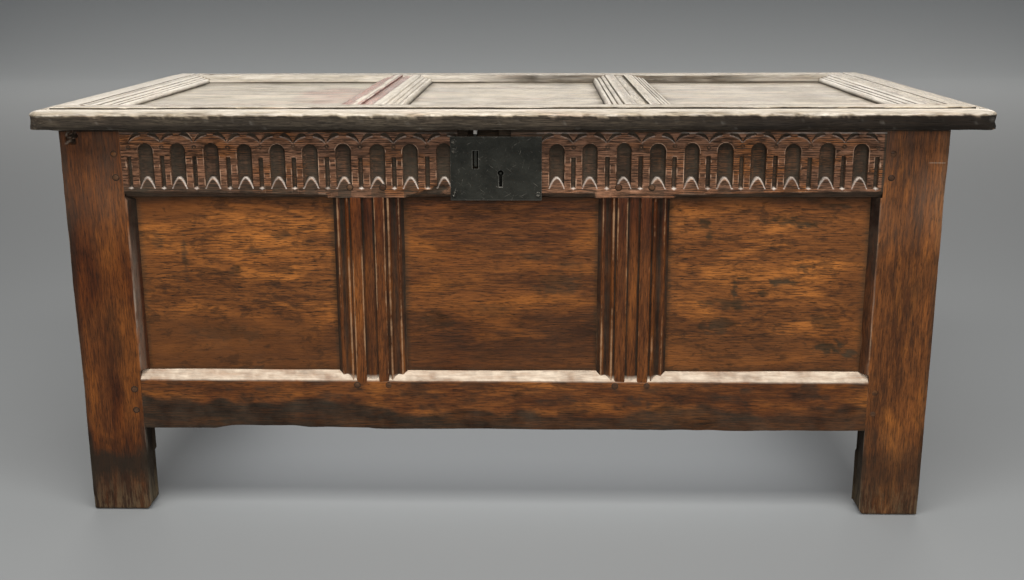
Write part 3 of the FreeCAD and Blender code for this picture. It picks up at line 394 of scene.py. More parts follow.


# Old waxed oak. Colours are linear. The grain letter is the axis that the fibres follow. Each layer is
# blended over the one before: wood, glow, streaks, pores, chisel rungs, stains, a darker tone that also
# carries painted shade, rubbed arrises, soot and painted shade, bleached wood and painted highlights,
# damp and dust on the feet, dust and a painted sheen on what faces up, and dry wood inside.
def makeOak(name, grain, look):
    material, tree, place = newMaterial(name + grain.upper())
    plus, minus, times, span, noise, blend = nodeTools(tree)
    parts = addNode(tree, "ShaderNodeSeparateXYZ", {0: place}).outputs
    turned = combineNode(tree, {k: parts[grainOrder[grain][k]] for k in range(3)})
    wear, dirtAndShade, pale, shade, inner, calm, board = [
        addNode(tree, "ShaderNodeAttribute", attribute_name=key).outputs["Fac"]
        for key in ("wear", "dirtAndShade", "pale", "shade", "inner", "calm", "board")]
    figure, streaks, pores, smudges, glows, mottle = placeGroup(tree, oakFigure, {
        "Vector": turned, "Board": board, "Pore size": look["poreSize"], "Smudge size": look["smudgeSize"]})
    rub = placeGroup(tree, edgeRub, {"Vector": place, "Wear": wear, "Size": 70.0, "Reach": look["rubReach"]})[0]
    dustAndSheen = placeGroup(tree, settledDustAndSheen, {"Vector": place, "Upward": look["dustAndSheenUp"], "Size": 26.0,
                                          "Hollow": times(dirtAndShade, look["hollowDust"])})[0]
    boardNoise = addNode(tree, "ShaderNodeTexWhiteNoise", {"W": board}, noise_dimensions="1D").outputs[0]

    def tinted(colour):
        return blend(1.0, colour, look["shadeTint"], "MULTIPLY")

    tone = span(plus(times(figure, 0.45), times(mottle, 0.55)), 0.5 - look["toneSpan"], 0.5 + look["toneSpan"])
    lively = minus(1.0, times(calm, 0.75))
    tone = plus(times(tone, lively), times(calm, 0.27))
    colour = blend(tone, look["dark"], look["light"])
    glowing = span(glows, look["glowFrom"], look["glowFrom"] + 0.16)
    colour = blend(times(glowing, look["glows"], lively), colour, look["glow"])
    colour = blend(times(boardNoise, look["boardSpread"]), colour, look["redder"])
    streak = span(streaks, look["streakFrom"], look["streakTo"])
    colour = blend(times(streak, look["streaks"], lively), colour, look["streak"])
    colour = blend(times(pores, look["pores"], lively), colour, look["pore"])
    if look["chatter"]:  # rungs that the chisel left across the carving, sin(2πz/2.7 mm) broken up by the mottle
        phase = plus(times(parts[2], 2327.0), times(mottle, 11.0))
        sine = addNode(tree, "ShaderNodeMath", {0: phase}, operation="SINE").outputs[0]
        rungs = times(span(sine, 0.25, 0.95), look["chatter"], span(glows, 0.38, 0.55))
        colour = blend(rungs, colour, look["streak"])
    smudge = span(smudges, look["smudgeFrom"], look["smudgeFrom"] + look["smudgeSpan"])
    colour = blend(times(smudge, look["smudges"]), colour, look["smudge"])
    # A darker, tinted tone. In places the shade mask is painted shade: under the top rail, in the splays and under the
    # flutes' crowns.
    colour = blend(shade, colour, tinted(colour))
    colour = blend(times(rub, look["rubs"]), colour, look["rub"])
    # Soot by the dirt mask, which also carries painted shade in recesses and under parts.
    sootAndShade = times(dirtAndShade, span(streaks, 0.38, 0.56, 0.85 * look["hollows"], look["hollows"]))
    colour = blend(sootAndShade, colour, look["hollow"])
    colour = blend(times(shade, dirtAndShade), colour, tinted(colour))
    # Bleached wood, and painted highlights where the pale mask marks bevels and arrises that face the light.
    colour = blend(times(pale, span(mottle, 0.40, 0.62, 1.0, 0.6)), colour, look["bleachAndHighlight"])

    # The feet have stood on damp floors: a black tide line, strongest on the left, and dusty streaks under it.
    height = plus(parts[2], times(minus(smudges, 0.5), 0.10))
    damp = times(span(height, 0.086, 0.108, 1.0, 0.0), span(height, 0.040, 0.066, 0.4, 1.0),
                 span(parts[0], -0.3, 0.3, 0.9, 0.45))
    colour = blend(damp, colour, look["damp"])
    dusty = times(span(height, 0.010, 0.066, 1.0, 0.0), span(mottle, 0.46, 0.56), 0.32)
    colour = blend(dusty, colour, look["floorDust"])
    colour = blend(times(dustAndSheen, 0.8), colour, look["dustAndSheenColour"])
    dry = blend(times(pores, 0.5), blend(streak, look["dryDark"], look["dryLight"]), look["pore"])
    colour = blend(inner, colour, dry)

    rough = plus(look["roughness"], times(pores, 0.18), times(span(smudges, 0.35, 0.65), 0.16),
                 times(span(mottle, 0.4, 0.62), 0.1))
    rough = plus(minus(rough, times(rub, 0.1)), times(dirtAndShade, 0.4), times(plus(dustAndSheen, pale), 0.3), times(inner, 0.35),
                 clamp=True)
    waxed = times(minus(1.0, inner), look["wax"], span(dirtAndShade, 0.1, 0.8, 1.0, 0.0))
    relief = plus(times(streaks, 0.5), times(pores, -0.7), times(smudges, 0.5))
    bump = addNode(tree, "ShaderNodeBump", {"Strength": look["relief"], "Distance": 0.0012, "Height": relief}).outputs[0]
    addShader(tree, {"Base Color": colour, "Roughness": rough, "Normal": bump, "Coat Weight": waxed,
                     "Coat Roughness": look["waxRoughness"], "Specular IOR Level": look["gloss"]})
    return material


def rgb(red, green, blue):
    return (red, green, blue, 1.0)


frameLook = {
    "dark": rgb(0.080, 0.026, 0.0065), "light": rgb(0.270, 0.090, 0.020), "glow": rgb(0.42, 0.145, 0.026),
    "streak": rgb(0.040, 0.016, 0.006), "redder": rgb(0.16, 0.048, 0.012), "pore": rgb(0.018, 0.010, 0.005),
    "smudge": rgb(0.026, 0.015, 0.008), "rub": rgb(0.48, 0.29, 0.16), "hollow": rgb(0.016, 0.012, 0.009),
    "bleachAndHighlight": rgb(0.80, 0.69, 0.56), "shadeTint": rgb(0.42, 0.32, 0.24), "damp": rgb(0.022, 0.015, 0.009),
    "floorDust": rgb(0.24, 0.18, 0.10), "dustAndSheenColour": rgb(0.30, 0.25, 0.18), "dryDark": rgb(0.11, 0.065, 0.035),
    "dryLight": rgb(0.21, 0.13, 0.072), "toneSpan": 0.10, "glows": 0.8, "glowFrom": 0.50, "streaks": 0.56,
    "streakFrom": 0.46, "streakTo": 0.60, "boardSpread": 0.25, "pores": 0.6, "poreSize": 1.25, "chatter": 0.0,
    "smudges": 0.35, "smudgeFrom": 0.53, "smudgeSpan": 0.10, "smudgeSize": 1.4, "rubs": 0.65, "rubReach": 0.5,
    "hollows": 0.94, "hollowDust": 0.15, "dustAndSheenUp": 0.1, "roughness": 0.44, "gloss": 0.2, "wax": 0.10,
    "waxRoughness": 0.26, "relief": 0.45,
}
friezeLook = {
    **frameLook, "chatter": 0.95, "dark": rgb(0.175, 0.088, 0.052), "light": rgb(0.53, 0.275, 0.160), "pores": 0.9,
    "streaks": 0.85, "streakFrom": 0.48, "streakTo": 0.57, "streak": rgb(0.050, 0.023, 0.011), "poreSize": 0.85,
    "rubs": 0.85, "rubReach": 0.55, "hollows": 0.97, "hollow": rgb(0.036, 0.029, 0.022), "relief": 0.7,
    "bleachAndHighlight": rgb(0.86, 0.79, 0.72), "rub": rgb(0.62, 0.40, 0.27), "hollowDust": 0.2,
}
panelLook = {
    **frameLook, "dark": rgb(0.085, 0.029, 0.008), "light": rgb(0.31, 0.108, 0.025), "streaks": 0.62, "pores": 0.7,
    "smudges": 0.3, "toneSpan": 0.11, "smudgeSize": 2.0, "smudgeFrom": 0.545, "smudgeSpan": 0.08, "roughness": 0.46,
    "boardSpread": 0.15, "poreSize": 1.3, "hollow": rgb(0.034, 0.022, 0.011),
}
wornPanelLook = {
    **panelLook, "light": rgb(0.36, 0.126, 0.028), "glow": rgb(0.50, 0.175, 0.034), "glows": 1.0, "streaks": 0.75,
    "smudges": 0.5, "smudgeSize": 3.4, "smudgeFrom": 0.535, "toneSpan": 0.145, "streakFrom": 0.48, "pores": 0.85,
}
# The lid's light, bleached and dust colours are weathered grey-cream wood, raised further as a painted sheen of the
# lights on its top.
lidLook = {
    **frameLook, "dark": rgb(0.150, 0.120, 0.080), "light": rgb(0.67, 0.575, 0.41), "streak": rgb(0.13, 0.10, 0.065),
    "streaks": 0.72, "glow": rgb(0.70, 0.47, 0.35), "glows": 0.6, "glowFrom": 0.54, "redder": rgb(0.48, 0.34, 0.25),
    "toneSpan": 0.065, "rub": rgb(0.86, 0.80, 0.68), "rubs": 0.85, "bleachAndHighlight": rgb(0.90, 0.84, 0.75), "dustAndSheenUp": 0.25,
    "hollowDust": 0.0, "dustAndSheenColour": rgb(0.70, 0.63, 0.49), "hollow": rgb(0.036, 0.029, 0.022), "hollows": 0.97,
    "roughness": 0.40, "gloss": 0.35, "wax": 0.3, "waxRoughness": 0.24, "smudges": 0.5,
    "smudge": rgb(0.20, 0.165, 0.115), "relief": 0.8, "shadeTint": rgb(0.30, 0.25, 0.21),
}
redLidLook = {**lidLook, "shadeTint": rgb(0.72, 0.29, 0.255), "wax": 0.2}  # where old red paint still stains the lid
innerLook = {**frameLook, "wax": 0.0, "roughness": 0.75, "dustAndSheenUp": 0.25}
pegLook = {**frameLook, "dark": rgb(0.050, 0.026, 0.014), "light": rgb(0.13, 0.062, 0.028), "rubs": 0.3}

oakLooks = {"frameOak": (frameLook, "xyz"), "friezeOak": (friezeLook, "x"), "panelOak": (panelLook, "xyz"),
            "wornPanelOak": (wornPanelLook, "x"), "lidOak": (lidLook, "xy"), "redLidOak": (redLidLook, "xy"),
            "innerOak": (innerLook, "y"), "pegOak": (pegLook, "x")}
oak = {label + grain.upper(): makeOak(label, grain, look) for label, (look, grains) in oakLooks.items() for grain in grains}


# Forged iron, blackened and handled: hammer marks, brown bloom and brighter rubbed scratches, and where given a painted
# highlight above a height.
def makeIron(name, look, metallic=0.4):
    material, tree, place = newMaterial(name)
    plus, minus, times, span, noise, blend = nodeTools(tree)
    cloud = noise(place, (42, 42, 42), 5.0, 0.62)
    hammer = noise(place, (120, 120, 120), 2.0, 0.5)
    speck = noise(place, (520, 520, 520), 3.0, 0.6)
    colour = blend(span(cloud, 0.35, 0.68), look["black"], look["grey"])
    colour = blend(span(speck, 0.58, 0.75), colour, look["rust"])
    for angle, shift in ((0.5, 1.0), (-0.7, 2.0), (1.3, 3.0)):  # three sets of scratches
        turned = addNode(tree, "ShaderNodeMapping", {"Vector": place, "Rotation": (0, angle, 0), "Location": (shift,) * 3})
        scratch = noise(turned.outputs[0], (75, 75, 850), 2.0, 0.5, 0.6)
        colour = blend(span(scratch, 0.68, 0.76), colour, look["bright"])
    if "paintedHighlightFrom" in look:  # a painted highlight above this height, where the staple's end catches the light
        height = addNode(tree, "ShaderNodeSeparateXYZ", {0: place}).outputs[2]
        colour = blend(span(height, look["paintedHighlightFrom"], look["paintedHighlightFrom"] + 0.001), colour, look["paintedHighlight"])
    rough = plus(look["roughness"], times(span(speck, 0.4, 0.7), 0.2))
    relief = plus(hammer, times(speck, 0.35))
    bump = addNode(tree, "ShaderNodeBump", {"Strength": 0.6, "Distance": 0.0011, "Height": relief}).outputs[0]
    addShader(tree, {"Base Color": colour, "Roughness": rough, "Metallic": metallic, "Normal": bump,
                     "Specular IOR Level": 0.3})
    return material


blackIron = {"black": rgb(0.012, 0.013, 0.010), "grey": rgb(0.030, 0.031, 0.025), "rust": rgb(0.045, 0.026, 0.014),
             "bright": rgb(0.15, 0.14, 0.12), "roughness": 0.5}
forgedIron = makeIron("forgedIron", blackIron)
# Bright iron for the plate's bevelled edges: rubbed iron and a painted highlight along edges that face the light.
rubbedAndLitIron = makeIron("rubbedAndLitIron", {**blackIron, "black": rgb(0.06, 0.06, 0.052), "grey": rgb(0.17, 0.165, 0.145),
                                     "bright": rgb(0.42, 0.40, 0.36), "roughness": 0.38})
stapleIron = makeIron("stapleIron", {**blackIron, "paintedHighlightFrom": 0.5765, "paintedHighlight": rgb(0.75, 0.72, 0.68)}, metallic=0.1)
nailIron = makeIron("nailIron", {**blackIron, "black": rgb(0.035, 0.035, 0.030), "grey": rgb(0.11, 0.105, 0.09),
                                 "bright": rgb(0.30, 0.28, 0.24), "roughness": 0.3}, metallic=0.85)
print("finishes made")


carcass = {"halfLength": 625, "depth": 600, "height": 586, "stileWidth": 87, "stileDepth": 50, "railThick": 28,
           "muntinThick": 26, "topRailLow": 486.5, "bottomRailTop": 224, "foot": 134.5, "chamferLow": 211.6,
           "muntinMiddle": 190.5, "muntinWidth": 102, "groove": 8}
halfLength = carcass["halfLength"]
depthAll = carcass["depth"]
stileInner = halfLength - carcass["stileWidth"]
topLow = carcass["topRailLow"]
railTop = carcass["bottomRailTop"]
chamferLow = carcass["chamferLow"]

# A moulded edge, as (distance from the panel, depth below the flat), and the channel up a muntin's
# middle, as (distance from the middle, depth).
mouldedEdge = [(0, 13), (0.3, 12.2), (5.6, 7.5), (6.6, 6.6), (9.2, 6.8), (9.9, 7.4), (13.5, 7.6), (17.5, 5.2), (19.6, 2.6),
               (20.3, 1.5), (21.2, 0.9), (22.4, 0.9), (23.4, 1.6), (24.0, 2.8), (25.0, 3.2), (26.0, 2.4), (26.9, 0.7),
               (27.6, 0)]
channelEdge = [(9.6, 0), (9.1, 0.5), (8.9, 3.2), (8.0, 3.6), (5.6, 2.6), (2.8, 1.7), (0, 1.4)]


# A muntin's outline across its width: moulded edges, flats and the reeded channel, then the plain back.
def muntinOutline(width, thick, edge=mouldedEdge):
    half = width / 2
    face = [(u - half, d) for u, d in edge] + [(-u, d) for u, d in channelEdge]
    return face + [(-u, d) for u, d in face[::-1][1:]] + [(half, thick), (-half, thick)]


def rectangle(a0, a1, b0, b1):
    return [(a0, b0), (a1, b0), (a1, b1), (a0, b1)]


# A plain squared timber between two corners, with its grain along one axis.
def plainTimber(name, node, low, high, axis, seed, board, finish="frameOak", turn=0.5, **finer):
    outline = rectangle(*(corner[k] for k in range(3) if k != axis for corner in (low, high)))
    shape = carry(outline, axis, low[axis], high[axis], seed, turn=turn, **finer)
    addTimber(name, shape, finish + "XYZ"[axis], node, board)


frontStile = {
    "seed": 301, "stripEnd": 223, "footRound": 13, "footWear": 5, "rearRound": 17, "footTop": 152,
    "arrisPale": {-1: 0.26, 1: 0.2}, "handledPale": {-1: 0.022, 1: 0.03}, "darker": {-1: 0.5, 1: 0.0},
    "strip": [(0, 0.0), (0.6, 0.35), (1.4, 0.1), (6.6, 4.4), (7.6, 6.4), (12, 12.5), (12, 27)],  # (from the edge, depth)
    "cornerStops": (0.6, 1.5, 2.8, 4.5, 6.5, 8.7, 11, 13.4),
    "notchStops": (618.4, 617.2, 616, 614.8, 613.6, 612.4, 611, 608.5, 606, 603.5, 601, 599.8, 598.6, 597),
    "heightStops": (0.3, 0.8, 1.5, 2.5, 3.5, 4.6, 5.8, 7.2, 8.8, 10.6, 12.8, 534.9, 535.8, 536.3, 536.9, 537.4, 538.2, 560.6,
                    561.8, 563, 564.2, 565.4, 566.5, 567.8, 569.2, 570.2, 571.4, 572.6, 574, 575.4, 577, 578.6, 580, 581.4),
    "notch": {"left": -616.4, "right": -598.6, "low": 562.8}, "paleLineHeight": 536.6, "scratch": (599, 622), "shake": -588.6,
}


# The torn notch at the top of the left stile: the depth is a patchy bite with a dark slit across it and
# pale splinters, and a long shake runs down beside it.
def notchCorner(shape, splay):
    rings = shape["rings"]
    x, y, z = np.moveaxis(rings, -1, 0)
    notch = frontStile["notch"]
    bite = np.minimum(np.minimum(x - notch["left"], notch["right"] - x), z - notch["low"]) + 1.8 * patchy(rings, 5, 5)
    bite = held(bite / 1.5) * (y < 4)
    slit = (np.abs(z - 574.5) < 2.2) & (x > -609) | (np.hypot(x + 607, z - 567.5) < 2.4)
    rings[..., 1] = y + bite * np.clip(4.6 + 3.6 * patchy(rings, 6, 3.4) + 4 * slit, 1.5, 9)
    deepen(shape, "dirtAndShade", bite * held(0.72 + 0.3 * patchy(rings, 7, 3) + slit))
    torn = held(2.2 * patchy(rings, 8, (2.6, 9, 2.6)) - 0.2) * (bite > 0.3) * ~slit
    shape["pale"] += 0.2 * torn + 0.1 * splay * (y < 8) * ramp(z, 450, 390)
    shake = hump(x - frontStile["shake"] + 0.8 * patchy(rings, 9, (9, 9, 60)), 1.1) * ramp(z, 330, 450) * (y < 1)
    deepen(shape, "dirtAndShade", 0.5 * shake)


# The front stiles' outline is carried up z. A strip beside the panels is splayed between the rails and left
# square past them, and the feet are rounded where a point lies further than the radius from a quarter circle's middle.
def frontStiles():
    own, depth = frontStile, carcass["stileDepth"]
    for side, label in ((-1, "Left"), (1, "Right")):
        edge, outer = side * stileInner, side * halfLength
        outline = [(outer, 0)] + [(edge - side * u, d) for u, d in own["strip"]]
        outline += [(edge, 28), (edge, depth), (outer, depth)]
        marks = [(-u, 0) for u in own["notchStops"]] if side < 0 else []
        marks += [(edge + side * k, y) for k in own["cornerStops"] for y in (0, depth)]
        marks += [(outer - side * k, y) for k in own["cornerStops"][:5] for y in (0, depth)]
        stops = [*own["heightStops"], *(h + d for h in (own["stripEnd"], topLow) for d in (-0.1, 0.1))]
        shape = carry(outline, 2, 0, carcass["height"], own["seed"] + side, spacing=4, step=6, turn=0.4, sway=0.5,
                      marks=marks, extra=stops)
        rings = shape["rings"]
        x, y, z = np.moveaxis(rings, -1, 0)
        onStrip = (y < 27.5) & (side * x < stileInner)
        x[((z < own["stripEnd"]) | (z > topLow)) & onStrip] = edge  # the splayed strip stops at the rails
        splay = onStrip & (y > 1.0)
        arris = onStrip & (y < 1.2) & ((z < 478) | (side < 0))
        # The splay is darker towards the top: painted shade under the top rail.
        shape["shade"] = np.clip(0.45 + (z - 330) / 160, 0.45, 1.0) * splay
        deepen(shape, "dirtAndShade", np.clip(0.3 + (z - 360) / 150, 0.3, 0.9) * splay)
        shape["pale"] = own["arrisPale"][side] * arris * mottled(rings, 318, (9, 9, 30), 0.75)
        if side < 0:
            notchCorner(shape, splay)
        else:
            start, end = own["scratch"]
            scratched = (np.abs(z - own["paleLineHeight"]) < 0.5) & (x > start) & (x < end) & (y < 2)
            shape["pale"] += 0.3 * scratched
        high = ramp(z, 400, 460)
        fading = 0.7 - 0.55 * high if side < 0 else np.clip((300 - z) / 200, 0.15, 0.8)
        shape["shade"] += (y < 1) * fading * mottled(rings, 319 + side, (24, 24, 90))
        touched = np.clip(1 + patchy(rings, 323 + side, (40, 9, 70)), 0, 2)
        shape["pale"] += (y < 1) * high * own["handledPale"][side] * touched
        # A painted shadow line under the lid's overhang.
        shape["dirtAndShade"][(z > 580.6) & (y < 3)] = 1.0
        # The feet's inner faces stand under the chest: painted shade.
        inFoot = (side * x < stileInner + 2) & (y > 2.5) & (z < own["footTop"])
        shape["dirtAndShade"][inFoot] = 1.0
        shape["shade"][inFoot] = 1.0
        foot = ramp(z, 150, 120)
        # The outer edge, rounding away from the light, is darkened as painted shade.
        deepen(shape, "dirtAndShade", (0.55 + 0.3 * foot) * ramp(side * x, 615, 623) * (y < 8))
        handled = ramp(side * x, stileInner + 8, stileInner + 2) * (y < 2.6) * foot
        deepen(shape, "dirtAndShade", 0.75 * handled * np.clip(0.8 + patchy(rings, 327, (9, 9, 30)), 0.3, 1))
        deepen(shape, "dirtAndShade", 0.3 * (ramp(z, 60, 30) if side < 0 else foot) * (y < 3))
        footEnds = 40  # below this the foot's worn corners are rounded
        roundCorner(shape, 0, edge, -side, 1, depth, 1, own["rearRound"] * ramp(z, own["footTop"], own["footTop"] - 14))
        roundCorner(shape, 0, edge, -side, 2, 0, -1, own["footRound"], footEnds)
        roundCorner(shape, 0, outer, side, 2, 0, -1, own["footWear"], footEnds)
        roundCorner(shape, 1, 0, -1, 2, 0, -1, own["footWear"], footEnds)
        addTimber("frontStile" + label, shape, "frameOakZ", "stile_front_" + label.lower(), 3 + side, own["darker"][side])


# The rear stiles are plain squared timbers on the two back corners.
def rearStiles():
    for side, label in ((-1, "Left"), (1, "Right")):
        x0, x1 = sorted((side * halfLength, side * stileInner))
        plainTimber("rearStile" + label, "stile_rear_" + label.lower(), (x0, depthAll - carcass["stileDepth"], 0),
                    (x1, depthAll, carcass["height"]), 2, 340 + side, 7 + side, turn=2.0, spacing=9, step=11, sway=0.5)


# Hewn is how far the rough lower edge rises, as (x, rise), and tide is the height of the dark stain.
bottomRail = {"seed": 360, "tide": 174, "tideFall": 14, "chamferPale": 0.80,
              "hewn": [(-430, 0), (-405, 4.4), (-310, 4.4), (-290, 2.4), (-200, 1.6), (-190, 0.2), (-60, 1.2), (120, 0),
                       (260, 1.4), (400, 0.3), (538, 0.8)]}


# The bottom rail's chamfered section is carried along x. Its lower edge rises by the hewn profile, and it is
# stained wherever its height is under tide + patches - tideFall·x/stileInner.
def frontBottomRail():
    own, foot, thick = bottomRail, carcass["foot"], carcass["railThick"]
    outline = [(0, foot), (0, chamferLow), (12.2, 223.2), (13.2, railTop), (thick, railTop), (thick, foot)]
    shape = carry(outline, 0, -stileInner, stileInner, own["seed"], fresh=0.5, worn=2.2, spacing=4, step=4, turn=0.5,
                  sway=0.45)
    rings = shape["rings"]
    x, y, z = np.moveaxis(rings, -1, 0)
    z += ramp(z, 150, 135) * (np.interp(x, *zip(*own["hewn"])) + 0.4 * patchy(rings * (1, 0, 0), 362, 24))
    onChamfer = ramp(z, chamferLow - 1.3, chamferLow + 0.2) * (y < 12.8)
    face = (y < 2) * (1 - onChamfer)
    streaky = 0.4 * patchy(rings, 366, (26, 9, 9)) + 0.25 * patchy(rings, 369, (5, 5, 5))
    # The chamfer faces up to the light: bleached, dusty wood and a painted highlight.
    shape["pale"] = onChamfer * held(own["chamferPale"] + streaky)
    shape["shade"] = 0.5 * mottled(rings, 371, (36, 20, 13)) * face
    shape["wear"] += (0.6 - shape["wear"]) * onChamfer
    rightward = x / stileInner
    line = own["tide"] + 15 * patchy(rings * (1, 0, 0), 364, 130) + 9 * patchy(rings, 365, (30, 30, 30))
    line -= own["tideFall"] * rightward
    deepen(shape, "dirtAndShade", held((line - z) / 6) * held(0.92 - 0.1 * rightward + 0.25 * patchy(rings, 368, (60, 20, 12))))
    blots = held(2.4 * patchy(rings, 372, (24, 9, 9)) - 0.55 + 0.9 * patchy(rings, 373, (6, 6, 4)))
    deepen(shape, "dirtAndShade", 0.6 * blots * face)
    addTimber("frontBottomRail", shape, "frameOakX", "front_bottom_rail", 11, shade=0.05)


# The front muntins' reeded outline is carried up z, from a ragged line a little down the rail's chamfer.
def frontMuntins():
    width = carcass["muntinWidth"]
    for side, label in ((-1, "Left"), (1, "Right")):
        middle = side * carcass["muntinMiddle"]
        outline = [(middle + u, d) for u, d in muntinOutline(width, carcass["muntinThick"])]
        shape = carry(outline, 2, chamferLow - 4, topLow + 0.4, 380 + side, fresh=0.3, worn=0.8, spacing=3.0, step=6,
                      turn=0.3, sway=0.25, wearSize=(30, 30, 90))
        x, y, z = np.moveaxis(shape["rings"], -1, 0)
        face = y < 14
        shape["shade"] = np.clip((z - 380) / 110, 0, 0.75) * face
        inward = width / 2 - np.abs(x - middle)
        deepen(shape, "dirtAndShade", 0.82 * face * ramp(inward, 5.4, 4.2) * (y > 6))  # painted shade beside the panel
        scribed = held((chamferLow + 4.5 - z + 1.2 * patchy(shape["rings"], 387, 6)) / 1.2)  # cut down over the chamfer
        shape["pale"] = 0.85 * scribed * (y > 1.2) * face
        addTimber("frontMuntin" + label, shape, "frameOakZ", "front_muntin_" + label.lower(), 14 + side, shade=0.3)


# How far points lie inside a box (x from, to, z from, to), 0 to 1 over 16 mm with a ragged edge.
def softBox(points, box, seed):
    x, z = points[..., 0], points[..., 2]
    within = np.minimum(np.minimum(x - box[0], box[1] - x), np.minimum(z - box[2], box[3] - z))
    return held((within + 9 * patchy(points, seed, (30, 30, 12))) / 16 + 0.5)


# A floating board, `thin` across its thin axis, with painted shade along its edges and under the top rail, and dark
# marks (x, z, reaches, amount).
# Calm boxes (x from, to, z from, to, amount) quieten its grain, and it is dimmer below the height dimBelow.
def panelBoard(name, node, low, high, thin, seed, board, finish="panelOak", marks=(), shade=0.0, calm=(), dimBelow=312):
    axis, groove = 1 - thin, carcass["groove"]
    fine = 3.2 if marks else 7
    outline = rectangle(low[thin], high[thin], low[2], high[2])
    shape = carry(outline, axis, low[axis], high[axis], seed, spacing=fine, step=fine, turn=0.8, sway=0.45,
                  wearSize=(200, 200, 60))
    rings = shape["rings"]
    along, z = rings[..., axis], rings[..., 2]
    underRail = high[2] - groove - z
    gap = np.minimum(np.minimum(along - low[axis], high[axis] - along) - groove, np.minimum(z - low[2] - groove, underRail))
    # Painted shade along the edges where the frame stands over the board, and a painted shadow under the top rail.
    shape["dirtAndShade"] = np.maximum(0.7 * hump(np.clip(gap, 0, None), 5.0, 1.5), 0.8 * hump(underRail, 7.0))
    lowDown = held((dimBelow - z + 25 * patchy(rings, seed + 40, 90)) / 30)
    deepen(shape, "dirtAndShade", 0.2 * lowDown)
    clouds = mottled(rings, seed + 43, (70, 70, 28))
    # Shade: darker low down, painted shadow under the top rail, and patchy clouds.
    shape["shade"] = 0.3 * lowDown + 0.5 * hump(np.clip(underRail, 0, None), 20.0) + 0.3 * clouds
    for markX, markZ, reachX, reachZ, amount in marks:
        spot = ((along - markX) / reachX) ** 2 + ((z - markZ) / reachZ) ** 2
        ragged = 0.9 * patchy(rings, seed + 41, (12, 12, 5)) + 1.1 * patchy(rings, seed + 42, (5.5, 5.5, 2.8))
        deepen(shape, "dirtAndShade", 1.4 * amount * held(1.4 * (1.1 - spot + 0.8 * ragged)))
        rings[..., thin] += 0.5 * amount * hump(spot, 1.0)
    shape["wear"] *= 0
    shape["calm"] = sum((box[4] * softBox(rings, box, seed + 50 + k) for k, box in enumerate(calm)), np.zeros(z.shape))
    addTimber(name, shape, finish + "XY"[axis], node, board, shade)


frontPanels = {
    "Left": {
        "span": (-534, -233.5), "finish": "wornPanelOak",
        "marks": [(-462, 395, 4, 28, 0.5), (-390, 372, 12, 10, 0.55), (-360, 405, 17, 4, 0.5), (-318, 428, 14, 7, 0.45),
                  (-500, 420, 9, 12, 0.35), (-405, 280, 60, 14, 0.35)],
        "calm": [(-560, -430, 442, 520, 0.5), (-560, -230, 458, 520, 0.45), (-560, -285, 190, 306, 0.95),
                 (-300, -220, 190, 284, 0.6), (-560, -505, 320, 440, 0.5)],
    },
    "Middle": {
        "span": (-147.5, 147.5), "shade": 0.2, "dimBelow": 340,
        "marks": [(84, 356, 36, 20, 0.36), (52, 398, 24, 6, 0.3), (96, 386, 18, 6, 0.3), (-95, 300, 26, 16, 0.4),
                  (-15, 318, 30, 10, 0.35)],
        "calm": [(-170, 170, 190, 262, 0.4)],
    },
    "Right": {
        "span": (233.5, 534), "finish": "wornPanelOak",
        "marks": [(292, 446, 9, 8, 0.75), (300, 430, 5, 14, 0.6), (404, 452, 24, 7, 0.6), (438, 446, 28, 5, 0.7),
                  (352, 366, 10, 3, 0.8), (338, 348, 5, 15, 0.75), (409, 361, 19, 7, 0.85), (382, 343, 9, 6, 0.6),
                  (330, 326, 42, 8, 0.6), (318, 292, 26, 12, 0.5), (484, 262, 34, 11, 0.8), (512, 254, 12, 8, 0.8),
                  (472, 300, 26, 12, 0.45), (474, 472, 26, 4, 0.5), (440, 380, 16, 6, 0.6)],
        "calm": [(220, 480, 190, 272, 0.5), (220, 490, 468, 520, 0.6), (494, 560, 190, 520, 0.6)],
    },
}
backPanels = {"Right": (-546, -233.5), "Middle": (-147.5, 147.5), "Left": (233.5, 546)}
sidePanels = {"front": (42, 266), "rear": (334, 558)}


# All the floating panels: three in front, three at the back and two in each side.
def panels():
    z0, z1 = railTop - carcass["groove"], topLow + carcass["groove"]
    for number, (label, own) in enumerate(frontPanels.items()):
        (x0, x1), looks = own["span"], {key: value for key, value in own.items() if key != "span"}
        panelBoard("frontPanel" + label, "front_panel_" + label.lower(), (x0, 13, z0), (x1, 21, z1), 1, 400 + number,
                   21 + number, **looks)
    for number, (label, (x0, x1)) in enumerate(backPanels.items()):
        panelBoard("backPanel" + label, "back_panel_" + label.lower(), (x0, 579, z0), (x1, 587, z1), 1, 410 + number,
                   31 + number)
    for side, label in ((-1, "left"), (1, "right")):
        x0, x1 = sorted((side * 612, side * 604))
        for number, (place, (y0, y1)) in enumerate(sidePanels.items()):
            panelBoard(label + place.capitalize() + "Panel", f"{label}_panel_{place}", (x0, y0, z0), (x1, y1, z1), 0,
                       420 + side + 5 * number, 41 + side + 2 * number)


